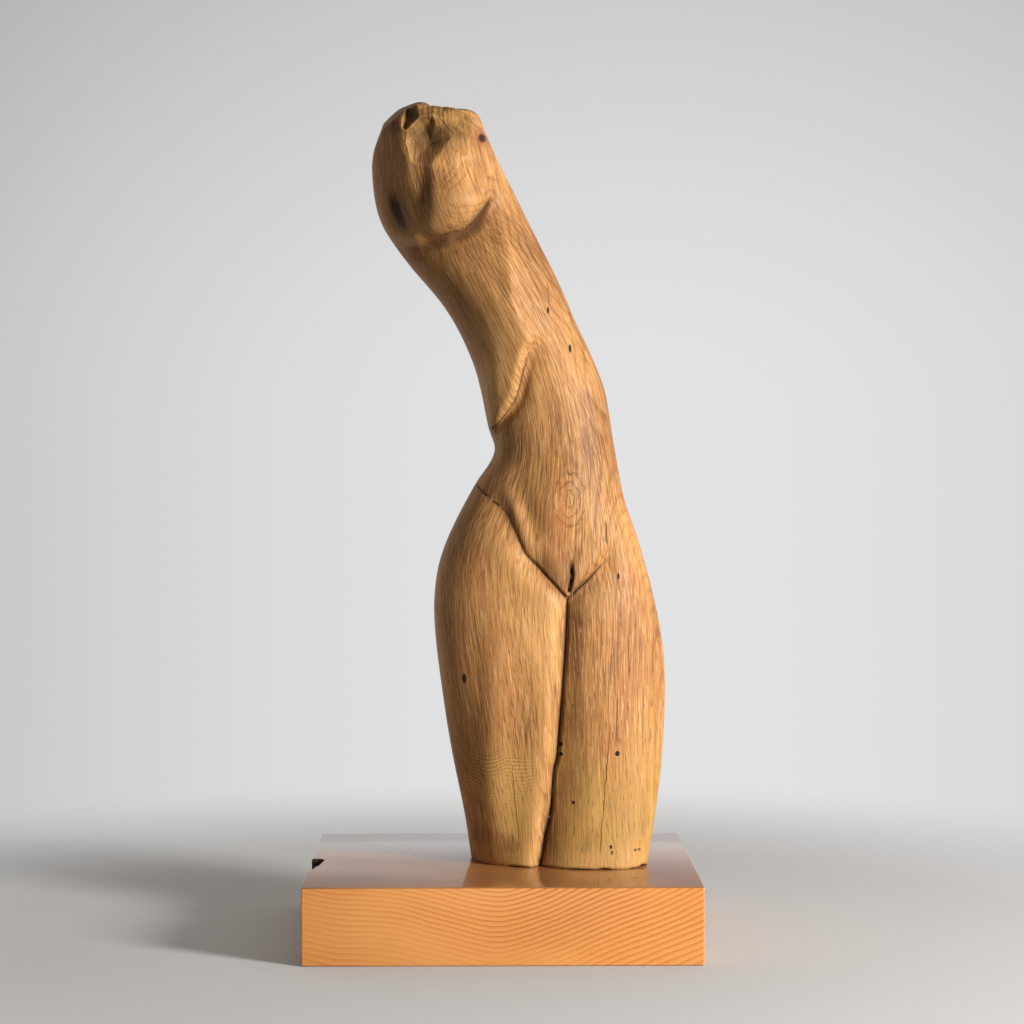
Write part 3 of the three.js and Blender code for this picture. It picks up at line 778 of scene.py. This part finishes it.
lean = bow(LEAN)
lean_x = np.interp(h, lean[:, 0], lean[:, 1])
run = np.concatenate([[0], np.cumsum(np.hypot(np.diff(lean[:, 0]), np.diff(lean[:, 1])))])
levels = np.linspace(0, 1, 61)
shelf = np.clip((h * 60 + 0.5).astype(int), 0, 60)
middle_x, middle_y = (np.array([(v[shelf == k].min() + v[shelf == k].max()) / 2 for k in range(61)])
                      for v in (x, y))
middle_x, middle_y = (np.convolve(np.pad(v, 3, mode="edge"), np.ones(7) / 7, "valid")
                      for v in (middle_x, middle_y))
out_x = x - np.interp(h, levels, middle_x)
out_y = y - np.interp(h, levels, middle_y)
girth_radius = np.hypot(out_x, out_y) * height
squeezed = (LOG_RADIUS + (girth_radius - LOG_RADIUS) * DEPTH_SQUEEZE) / np.maximum(girth_radius, 0.005)
lengthwise = np.interp(h, lean[:, 0], run)
in_log = np.column_stack([out_x * squeezed, out_y * squeezed, lengthwise]) * height
log_place = SURFACE.attributes.new("in_log", "FLOAT_VECTOR", "POINT")
log_place.data.foreach_set("vector", in_log.ravel())
rings = np.hypot((x - lean_x) * height + HEART_LEFT, y * height - HEART_BEHIND) * 1000
for middle, reach, amount in EYES:
    rings += amount * hill(x, h, middle, reach) * front
store("rings", rings)
print("rings run from", round(rings.min()), "to", round(rings.max()), "mm from the heart")

# %% [markdown]
# ## Hollows, edges and painted shade
# The colour is made darker in the hollows, and a painted highlight lightens the edges.
# Comparing each vertex with the average of its neighbours tells a hollow from an edge. Doing
# it again on a smoother and smoother mesh finds wide hollows as well as narrow ones. Ovals,
# each with its amount, make the wood lighter or darker: partly its own paler and darker patches,
# partly painted light and painted shade. Painted shade is also kept below the breast and at the top.


# %% Find hollows, edges and fresh cuts
def neighbour_average(mesh, values, rounds):
    """Averages each vertex's row of values with its neighbours', several times."""
    ends = np.empty(len(mesh.edges) * 2, dtype=np.int32)
    mesh.edges.foreach_get("vertices", ends)
    one, other = ends.reshape(-1, 2).T
    count = np.bincount(ends, minlength=len(mesh.vertices))[:, None]
    for _ in range(rounds):
        total = np.zeros_like(values)
        for column in range(values.shape[1]):
            total[:, column] = np.bincount(one, values[other, column], len(values))
            total[:, column] += np.bincount(other, values[one, column], len(values))
        values = total / count
    return values


places = corners(SURFACE)
hollowness = np.zeros(len(places))
for rounds, weight in ((3, 1200.0), (14, 420.0), (60, 110.0)):
    inward = ((neighbour_average(SURFACE, places, rounds) - places) * normals).sum(axis=1)
    hollowness += np.clip(inward * weight, -0.6, 1.0)
hollowness = neighbour_average(SURFACE, hollowness[:, None], 2)[:, 0]
store("hollow", np.clip(hollowness, -1, 1))
end_grain = ease(0.93, 0.97, h) * ease(0.5, 0.8, normals[:, 2])
store("raw", np.maximum(cut_fresh * ease(0.935, 0.950, h), end_grain))
store("end_grain", end_grain)
# Painted shade at the top: in the chiselled scoop, in the notch on the left and in a thin strip along
# the front band's rim.
scoop = np.maximum(hill(x, h, (-0.1700, 0.9390), (0.031, 0.017)),
                   0.90 * hill(x, h, (-0.1860, 0.9310), (0.018, 0.022)))
scoop = np.maximum(scoop, hill(x, h, (-0.1960, 0.9730), (0.008, 0.012)))
scoop = np.maximum(scoop, 0.85 * hill(x, h, (-0.1450, 0.9815), (0.031, 0.0035)))
# Ovals of lighter or darker tone: partly the wood's own patches, partly painted light and painted shade
# on forms turned towards or away from the lamp.
WOOD_TONE_AND_PAINTED_LIGHT = [((-0.036, 0.300), (0.035, 0.090), 0.25), ((-0.075, 0.075), (0.045, 0.060), 0.40),
                ((-0.146, 0.290), (0.020, 0.100), -0.08), ((0.016, 0.240), (0.010, 0.090), -0.24),
                ((0.043, 0.352), (0.030, 0.030), -0.16), ((-0.035, 0.760), (0.030, 0.080), -0.10),
                ((-0.086, 0.630), (0.022, 0.050), 0.52), ((-0.090, 0.710), (0.030, 0.050), 0.10),
                ((-0.006, 0.385), (0.022, 0.020), -0.34), ((0.050, 0.540), (0.035, 0.090), -0.24),
                ((-0.130, 0.400), (0.025, 0.050), -0.16), ((-0.222, 0.970), (0.021, 0.024), -0.55),
                ((-0.180, 0.880), (0.013, 0.040), -0.20), ((0.016, 0.120), (0.012, 0.090), -0.14),
                ((0.000, 0.600), (0.030, 0.050), -0.06), ((-0.148, 0.864), (0.024, 0.034), -0.26),
                ((-0.108, 0.880), (0.020, 0.040), -0.14)]
BREAST_SHADE_WIDTH = (3.5, 7.0)

store("patch", sum(amount * hill(x, h, middle, reach) for middle, reach, amount in WOOD_TONE_AND_PAINTED_LIGHT))
# Painted shade: a dark crescent just below the breast's edge, wider further along it.
below_breast, along_breast, _ = beside_line(x, h, bow(BREAST_EDGE))
below_breast = below_breast * height * 1000
fade_out = BREAST_SHADE_WIDTH[0] + BREAST_SHADE_WIDTH[1] * ease(0.0, 0.45, along_breast)
shade = ease(-0.9, 0.0, below_breast) * (1 - ease(0.35, 1.0, below_breast / fade_out))
shade = shade * ease(0, 0.12, along_breast)
store("under_breast", shade * (1 - 0.35 * ease(0.5, 1.0, along_breast)) * front)
store("scoop", scoop * front)
print("hollow vertices:", int((hollowness > 0.3).sum()))
print("edge vertices:", int((hollowness < -0.3).sum()))

# %% [markdown]
# ## Oak
# The wood is old oak, rubbed smooth and oiled, never varnished. Growth rings draw fine darker
# lines. Fibres run along the log as light and dark streaks. Pores are short dark dashes, and
# they crowd together where each ring begins. A picture could be wrapped round it, but formulas
# on the log's own directions bend with the trunk and stay sharp at any size.

# %% Mix the oak's rings, fibres and pores
OAK_LIGHT = (0.60, 0.325, 0.117)
OAK_MID = (0.385, 0.185, 0.062)
OAK_DARK = (0.165, 0.068, 0.024)
OAK_OLIVE = (0.36, 0.215, 0.050)
OAK_RED = (0.43, 0.165, 0.060)
OAK_FLECK_AND_GLINT = (0.78, 0.49, 0.24)
OAK_RAW = (0.27, 0.143, 0.038)
OAK_RAW_DARK = (0.085, 0.040, 0.011)
FOOT_DIRT = (0.130, 0.072, 0.018)
SCOOP_SHADE = (0.048, 0.026, 0.009)
BREAST_SHADE = (0.055, 0.022, 0.007)
SIDE_KNOT_RIM = (0.13, 0.055, 0.022)
KNOT_RIM = (0.20, 0.055, 0.025)
KNOT_BLACK = (0.020, 0.010, 0.006)
HOLE_BLACK = (0.012, 0.006, 0.004)
HOLLOW_DARK = (0.070, 0.030, 0.012)
RING_WIDTH = 2.9

oak = Finish(bpy.data.materials.new("carved_oak"))
log = oak.add("ShaderNodeAttribute", {"attribute_name": "in_log"}, out="Vector")


def remembered(name):
    """The number that each vertex of the torso keeps under this name."""
    return oak.add("ShaderNodeAttribute", {"attribute_name": name}, out="Fac")


ring_place = remembered("rings")
hollow = remembered("hollow")
up = oak.split(log)[2]

sway = oak.noise(log, 15, (1, 1, 0.30), detail=1.0) - 0.5
ripple = oak.noise(log, 90, (1, 1, 0.10), detail=1.0) - 0.5
phase = ring_place / RING_WIDTH + sway * 2.6 + ripple * 0.45
ring = phase.math("FRACT")
summer = ring.step(0.50, 0.92) * ring.step(1.0, 0.95)
fibre = oak.noise(log, 1300, (1, 1, 0.020), detail=2.0)
streak = oak.noise(log, 600, (1, 1, 0.022), detail=3.0)
band = oak.noise(log, 150, (1, 1, 0.06), detail=3.0)
cloud = oak.noise(log, 16, (1, 1, 0.60), detail=4.0, rough=0.6)
stain = oak.noise(log, 30, (1, 1, 0.22), detail=2.0)
# Pale flecks along the fibres: partly the wood's own, partly painted glints.
fleck_and_glint = oak.noise(log, 1000, (1, 1, 0.075), detail=2.0).step(0.57, 0.66)
pore_field = oak.noise(log, 1300, (1, 1, 0.090), detail=0.0)
pore = pore_field.step(0.62, 0.70) * (0.35 + 0.65 * ring.step(0.50, 0.15))
print("oak figure ready")

# %% [markdown]
# ## Marks on the oak
# Some marks are single things in known places: worm holes, drying cracks, two knots, and a
# patch of curly figure above the left foot. Each is drawn from its distance to a point or a
# line on the front of the figure.

# %% Draw holes, cracks, knots and the curly patch
HOLES = [((-0.1292, 0.2456), 1.7, 3.3), ((-0.0206, 0.7199), 0.8, 2.2), ((0.0078, 0.6707), 0.9, 2.8),
         ((-0.0038, 0.1603), 1.2, 1.5), ((-0.0038, 0.1473), 1.2, 1.3), ((0.0685, 0.1486), 1.5, 1.7),
         ((0.0117, 0.0853), 1.1, 1.2), ((0.0600, 0.0290), 1.0, 1.3), ((0.0612, 0.0215), 0.9, 1.3),
         ((0.0918, 0.0233), 1.1, 1.0), ((0.0972, 0.0238), 1.0, 1.0), ((0.0700, 0.3770), 0.7, 2.0)]
CRACKS = [((-0.0690, 0.1450), (-0.0560, 0.0080), 0.30, 1.6),
          ((0.0600, 0.1900), (0.0440, 0.0050), 0.30, 1.8),
          ((0.0690, 0.2300), (0.0660, 0.1520), 0.26, 0.8),
          ((0.0640, 0.2950), (0.0655, 0.2150), 0.20, 0.6),
          ((0.0820, 0.3050), (0.0850, 0.2380), 0.18, 0.5),
          ((0.0500, 0.2700), (0.0520, 0.2050), 0.16, 0.5),
          ((-0.1630, 0.9700), (-0.1400, 0.9430), 0.35, 0.6),
          ((-0.1220, 0.9700), (-0.1120, 0.9560), 0.35, 1.0),
          ((-0.0215, 0.7600), (-0.0190, 0.7230), 0.18, 0.3),
          ((-0.0990, 0.2000), (-0.1010, 0.1400), 0.16, 0.5),
          ((-0.0450, 0.5800), (-0.0440, 0.5300), 0.15, 0.4)]
CURLY_PLACE = (-0.0830, 0.1130)
CURLY_REACH = (0.058, 0.054)
CURL_WIDTH = 0.0024
KNOT = (-0.1055, 0.9440)
SIDE_KNOT = (-0.2150, 0.8480)
SIDE_KNOT_LEAN = 0.38
BELLY_EYE = (0.0065, 0.4770)
BELLY_EYE_SIZE = (11.5, 19.0)

spot = oak.add("ShaderNodeTexCoord", {}, {}, "Object")
spot_x, spot_y, spot_z = oak.split(spot)
spot_x = (spot_x - foot_place.x) / height
spot_z = (spot_z - foot_place.z) / height
facing = spot_y.step(0.0, -0.006)
wobble = oak.noise(spot, 260, detail=1.0) - 0.5
MM = 0.001 / height


def oval(middle, across_mm, up_mm, soft=0.35, lean=0.0):
    """1 inside an oval of this half width and half height, with a soft wobbly rim."""
    rise = spot_z - middle[1]
    right = (spot_x - middle[0] + rise * lean) / (across_mm * MM)
    rise = rise / (up_mm * MM)
    away = right * right + rise * rise + wobble * 0.9
    return away.step(1 + soft, 1 - soft)


def crack(start, end, half_width, waver):
    """1 along a wavering line that thins out at both ends."""
    long = math.dist(start, end)
    way = ((end[0] - start[0]) / long, (end[1] - start[1]) / long)
    along = (spot_x - start[0]) * way[0] + (spot_z - start[1]) * way[1]
    beside = (spot_x - start[0]) * way[1] - (spot_z - start[1]) * way[0] + wobble * (waver * MM)
    thin = (along / long).step(0.0, 0.25) * (along / long).step(1.0, 0.75)
    away = beside.math("ABSOLUTE") / (half_width * MM)
    return away.step(1.3, 0.5) * thin


def most(values):
    """The largest of several masks."""
    result = values[0]
    for value in values[1:]:
        result = result.math("MAXIMUM", value)
    return result


hole = most([oval(middle, wide, tall) for middle, wide, tall in HOLES]) * facing
split_line = most([crack(*places) for places in CRACKS]) * facing
knot = oval(KNOT, 2.6, 3.2, 0.8) * facing
knot_halo = oval((-0.1040, 0.9450), 7.5, 8.5, 0.9) * facing
side_knot = oval(SIDE_KNOT, 3.6, 11.5, 0.75, lean=SIDE_KNOT_LEAN) * facing
side_halo = oval(SIDE_KNOT, 7.5, 17.0, 0.95, lean=SIDE_KNOT_LEAN) * facing
eye_right = (spot_x - BELLY_EYE[0]) / (BELLY_EYE_SIZE[0] * MM)
eye_rise = (spot_z - BELLY_EYE[1]) / (BELLY_EYE_SIZE[1] * MM)
eye = (eye_right * eye_right + eye_rise * eye_rise).math("SQRT") + wobble * 0.30
eye_turn = (eye * 2.9).math("FRACT")
eye_line = eye_turn.step(0.62, 0.88) * eye_turn.step(1.0, 0.92) * eye.step(1.40, 1.05) * facing
eye_pale = eye.step(1.15, 0.60) * facing
curl_rise = (spot_z - CURLY_PLACE[1]) / CURLY_REACH[1]
curl_right = (spot_x - CURLY_PLACE[0]) / CURLY_REACH[0]
curly = (curl_rise * curl_rise + curl_right * curl_right).step(1.0, 0.2) * facing
curl_sway = oak.noise(spot, 34, (1, 1, 0.5), detail=2.0) * 7.0 + (spot_x * 110).math("SINE") * 0.55
curl = (spot_z * (height / CURL_WIDTH) + curl_sway) * math.tau
curl_line = curl.math("SINE") * curly * oak.noise(spot, 60, (0.5, 1, 2), detail=1.0).step(0.30, 0.60)
line_side = remembered("line_side")
line_strength = remembered("line_strength")
line_near = line_side.math("ABSOLUTE")
cut_line = line_near.step(1.15, 0.45) * line_strength
cut_shade = line_near.step(5.0, 0.5) * line_strength
print("holes:", len(HOLES), "cracks:", len(CRACKS))

# %% [markdown]
# ## The oak's colour
# From the bottom up: the wood's own tone with some painted light and painted shade, patches of
# red and olive, pale flecks where fibres stand up that are partly painted glints, dark pores,
# darker colour in the hollows, painted shade beside the cut lines, at the top and below the
# breast, the holes and cracks, which are nearly black, and last a painted highlight on the edges.
# The split wood at the top is yellower and much rougher. On the sawn end itself the fibres
# are cut across, so streaks and pores are left out there and only the rings show.

# %% Lay the oak's colours over each other
raw = remembered("raw")
end_grain = remembered("end_grain")
side_grain = 1.0 - end_grain
painted_top_shade = remembered("scoop")
patch = remembered("patch")
under_breast = remembered("under_breast")
calm = 1.0 - curly * 0.55
upright = (fibre - 0.5) * 1.05 + (streak - 0.5) * 0.62 + (band - 0.5) * 0.40
rings_here = summer * 0.16 * (1.0 - eye_pale) + eye_line * 0.30 - eye_pale * 0.05
# The tone takes in the ovals of painted light and painted shade as well as the wood's own patches.
tone = 0.48 + upright * calm - rings_here + curl_line * 0.24 + (cloud - 0.5) * 1.00 + patch
oak_stops = [(0.12, OAK_DARK), (0.45, OAK_MID), (0.85, OAK_LIGHT)]
colour = oak.add("ShaderNodeValToRGB", {"stops": oak_stops}, {0: tone})
colour = oak.blend(stain.step(0.50, 0.72) * 0.45, colour, OAK_RED)
# Pale flecks, partly painted glints along the fibres.
colour = oak.blend(fleck_and_glint * 0.32, colour, OAK_FLECK_AND_GLINT)
foot_dirt = oak.noise(spot, 48, (1, 1, 0.5), detail=3.0).step(0.50, 0.66) * spot_z.step(0.14, 0.02)
olive = up.step(0.16, 0.0) * cloud.step(0.38, 0.56) * 0.65
colour = oak.blend(olive, colour, OAK_OLIVE)
colour = oak.blend(foot_dirt * 0.50, colour, FOOT_DIRT)
torn_streak = (streak - 0.5) * side_grain + 0.5
sawn_ring = ring.step(0.35, 0.95) * ring.step(1.0, 0.95) * end_grain
torn_patch = oak.noise(spot, 190, (1, 1, 0.6), detail=3.0) * 0.7 + torn_streak * 0.3 - sawn_ring * 0.14
split_wood = oak.blend(torn_patch.step(0.36, 0.60), OAK_RAW_DARK, OAK_RAW)
colour = oak.blend(raw * 0.85, colour, split_wood)
colour = oak.blend(pore * side_grain * 0.72, colour, OAK_DARK)
# The colour is darker in the hollows.
hollow_dark = hollow.step(0.15, 1.0)
colour = oak.blend(hollow_dark * 0.48, colour, HOLLOW_DARK)
# Painted shade beside the carved lines.
colour = oak.blend(cut_shade * 0.40, colour, HOLLOW_DARK)
colour = oak.blend(painted_top_shade * 0.85, colour, SCOOP_SHADE)
colour = oak.blend(under_breast * 0.90, colour, BREAST_SHADE)
colour = oak.blend(side_halo * 0.50, colour, SIDE_KNOT_RIM)
colour = oak.blend(knot_halo * 0.55, colour, KNOT_RIM)
colour = oak.blend(side_knot * 0.92, colour, KNOT_BLACK)
dark = most([hole, split_line * 0.65, knot * 0.92, cut_line])
colour = oak.blend(dark, colour, HOLE_BLACK)
# Painted highlight: the edges and ridges are lightened.
painted_edge_highlight = hollow.step(-0.10, -0.7)
colour = oak.blend(painted_edge_highlight * 0.25, colour, OAK_LIGHT)

relief = (fibre * 0.55 + streak * 0.45 - pore * 0.55) * side_grain - summer * 0.12
torn_wood = oak.noise(spot, 420, (1, 1, 0.5), detail=3.0) * raw
normal = oak.bump(relief + torn_wood * 2.2, 0.0006, 0.42)
normal = oak.bump(1.0 - dark, 0.0015, 0.80, normal)
oak.feed(oak.shader.inputs["Base Color"], colour)
matt = 0.52 + (streak - 0.5) * 0.25 + hollow_dark * 0.25 + raw * 0.15 + under_breast * 0.2
oak.feed(oak.shader.inputs["Roughness"], matt)
oak.feed(oak.shader.inputs["Normal"], normal)
oak.feed(oak.shader.inputs["Specular IOR Level"], 0.18)
torso.data.materials.append(oak.owner)

alone(torso)
bpy.ops.object.shade_smooth()
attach(torso, "root")
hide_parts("torso")
print("oak nodes:", len(oak.tree.nodes))

# %% [markdown]
# ## The plinth
# A thick softwood plank, sawn square, its edges eased with sandpaper. The left top edge has a
# black pocket where bark grew into the wood. A cube is scaled to the solid's box and its edges
# bevelled. The pocket is a boolean cut with a rough egg of wood, because it is an irregular bite
# out of an edge and no bevel or inset gives that.

# %% Make the plinth and bite out the bark pocket
EDGE_ROUND = 0.0013
EDGE_STEPS = 4
POCKET_FAR = 0.002
POCKET_LONG = 0.050
POCKET_DEEP = 0.011
POCKET_DROP = 0.024

low, high = (Vector(corner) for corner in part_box("plinth"))
size = high - low
bpy.ops.object.select_all(action="DESELECT")
bpy.ops.mesh.primitive_cube_add(size=1, location=(low + high) / 2, scale=size)
plinth = bpy.context.active_object
plinth.name = "varnished_plinth"
bpy.ops.object.transform_apply(location=True, rotation=True, scale=True)
bpy.ops.object.mode_set(mode="EDIT")
bpy.ops.mesh.select_all(action="SELECT")
bpy.ops.mesh.bevel(offset=EDGE_ROUND, segments=EDGE_STEPS, affect="EDGES")
bpy.ops.object.mode_set(mode="OBJECT")

bpy.ops.object.select_all(action="DESELECT")
bpy.ops.mesh.primitive_ico_sphere_add(subdivisions=4, radius=1, location=(0, 0, 0))
bite = bpy.context.active_object
bite_shape = corners(bite.data)
rough = np.sin(bite_shape @ np.array([[3.1, 7.3], [9.7, 4.9], [6.1, 11.3]])).sum(axis=1) * 0.06
bite_shape = np.sign(bite_shape) * np.abs(bite_shape) ** 0.7 * (1 + rough)[:, None]
slope = 0.35 + 0.65 * (0.5 + 0.5 * bite_shape[:, 1])
bite_shape = bite_shape * np.array([POCKET_DEEP, POCKET_LONG / 2, POCKET_DROP])
bite_shape[:, 0] *= slope
bite_shape += np.array([low.x, POCKET_FAR - POCKET_LONG / 2, high.z])
put_back(bite.data, bite_shape)

cut = plinth.modifiers.new("bark_pocket", "BOOLEAN")
cut.operation = "DIFFERENCE"
cut.solver = "EXACT"
cut.object = bite
alone(plinth)
bpy.ops.object.modifier_apply(modifier="bark_pocket")
bpy.data.objects.remove(bite)
print("plinth faces:", len(plinth.data.polygons))

# %% [markdown]
# ## Varnished pine
# Softwood has wide pale spring wood and narrow orange summer wood. The plank's rings wander:
# seen on the front they dip in the middle and climb to the right. The heart lies below and
# behind the block. A clear coat over the wood gives the gloss of varnish.

# %% Mix the pine, its varnish and the bark pocket's black
PINE_LIGHT = (0.66, 0.285, 0.075)
PINE_MID = (0.54, 0.200, 0.042)
PINE_DARK = (0.36, 0.110, 0.022)
TOP_STAIN_AND_SHADE = (0.140, 0.062, 0.026)
PINE_RING = 0.0025
PINE_HEART = (0.045, -0.140)
DIP_PLACE = -0.0047
DIP_ROUND = 0.011
BARK_BLACK = (0.004, 0.003, 0.003)
BARK_BROWN = (0.030, 0.018, 0.012)
FLAT_ANGLE = 40

pine = Finish(bpy.data.materials.new("varnished_pine"))
block = pine.add("ShaderNodeTexCoord", {}, {}, "Object")
right, back, rise = pine.split(block)
wander = pine.noise(block, 11, (1, 1, 1), detail=2.0) - 0.5
shiver = pine.noise(block, 60, (0.5, 1, 1), detail=2.0) - 0.5
away = right - DIP_PLACE
dip = (away * away + DIP_ROUND * DIP_ROUND).math("SQRT") - DIP_ROUND
climb = away.step(0.0, 0.02)
flatten = away.step(-0.055, -0.115)
trough = dip * (0.30 + climb * 0.13 - flatten * 0.10)
deep = back - PINE_HEART[0]
tall = rise - PINE_HEART[1] - trough
rings = (deep * deep + tall * tall).math("SQRT")
turn = rings / PINE_RING + wander * 2.6 + shiver * 0.45
line = turn.math("FRACT")
late = (line ** 2.5) * line.step(1.0, 0.90)
hair = pine.noise(block, 800, (0.03, 1, 1), detail=2.0)
pine_cloud = pine.noise(block, 13, (0.6, 1, 1), detail=3.0)
dense = pine.noise(block, 22, (0.5, 1, 1), detail=1.0).step(0.35, 0.65)
heart = (away + 0.004).step(-0.075, 0.0) * rise.step(0.0, 0.045)
warm = late * (0.26 + dense * 0.42 + heart * 0.45) + (hair - 0.5) * 0.30
warm = warm + (pine_cloud - 0.5) * 0.95 + 0.17 + right.step(0.02, 0.12) * 0.08
pine_stops = [(0.05, PINE_LIGHT), (0.50, PINE_MID), (1.0, PINE_DARK)]
wood = pine.add("ShaderNodeValToRGB", {"stops": pine_stops}, {0: warm})
on_top = rise.step(high.z - 0.0012, high.z - 0.0003)
# The top is darker: partly the wood's own stain, partly painted shade.
wood = pine.blend(on_top * (0.80 - late * 0.25 + (pine_cloud - 0.5) * 0.7), wood, TOP_STAIN_AND_SHADE)
pine.feed(pine.shader.inputs["Base Color"], wood)
pine.feed(pine.shader.inputs["Roughness"], 0.38 + (hair - 0.5) * 0.15)
pine.feed(pine.shader.inputs["Coat Weight"], 0.95)
pine.feed(pine.shader.inputs["Coat Roughness"], 0.09)
pine.feed(pine.shader.inputs["Specular IOR Level"], 0.20)
pine.feed(pine.shader.inputs["Normal"], pine.bump(late * 0.4 + hair * 0.2, 0.0003, 0.25))
plinth.data.materials.append(pine.owner)

bark = Finish(bpy.data.materials.new("bark_pocket"))
bark_place = bark.add("ShaderNodeTexCoord", {}, {}, "Object")
bark_tone = bark.noise(bark_place, 260, (1, 1, 0.3), detail=3.0)
bark.feed(bark.shader.inputs["Base Color"], bark.blend(bark_tone, BARK_BLACK, BARK_BROWN))
bark.feed(bark.shader.inputs["Roughness"], 0.9)
bark.feed(bark.shader.inputs["Normal"], bark.bump(bark_tone, 0.002, 0.8))
plinth.data.materials.append(bark.owner)

middles = face_middles(plinth.data)
inner = ((middles > np.array(low) + 0.0002) & (middles < np.array(high) - 0.0002)).all(axis=1)
near_pocket = (middles[:, 0] < low.x + 1.3 * POCKET_DEEP) & (middles[:, 2] > high.z - 1.3 * POCKET_DROP)
along_pocket = np.abs(middles[:, 1] - POCKET_FAR + POCKET_LONG / 2) < 0.62 * POCKET_LONG
in_pocket = inner & near_pocket & along_pocket
plinth.data.polygons.foreach_set("material_index", in_pocket.astype(np.int32))

alone(plinth)
bpy.ops.object.shade_smooth_by_angle(angle=math.radians(FLAT_ANGLE))
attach(plinth, "root")
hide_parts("plinth")
print("plinth ready, pocket faces:", int(in_pocket.sum()))
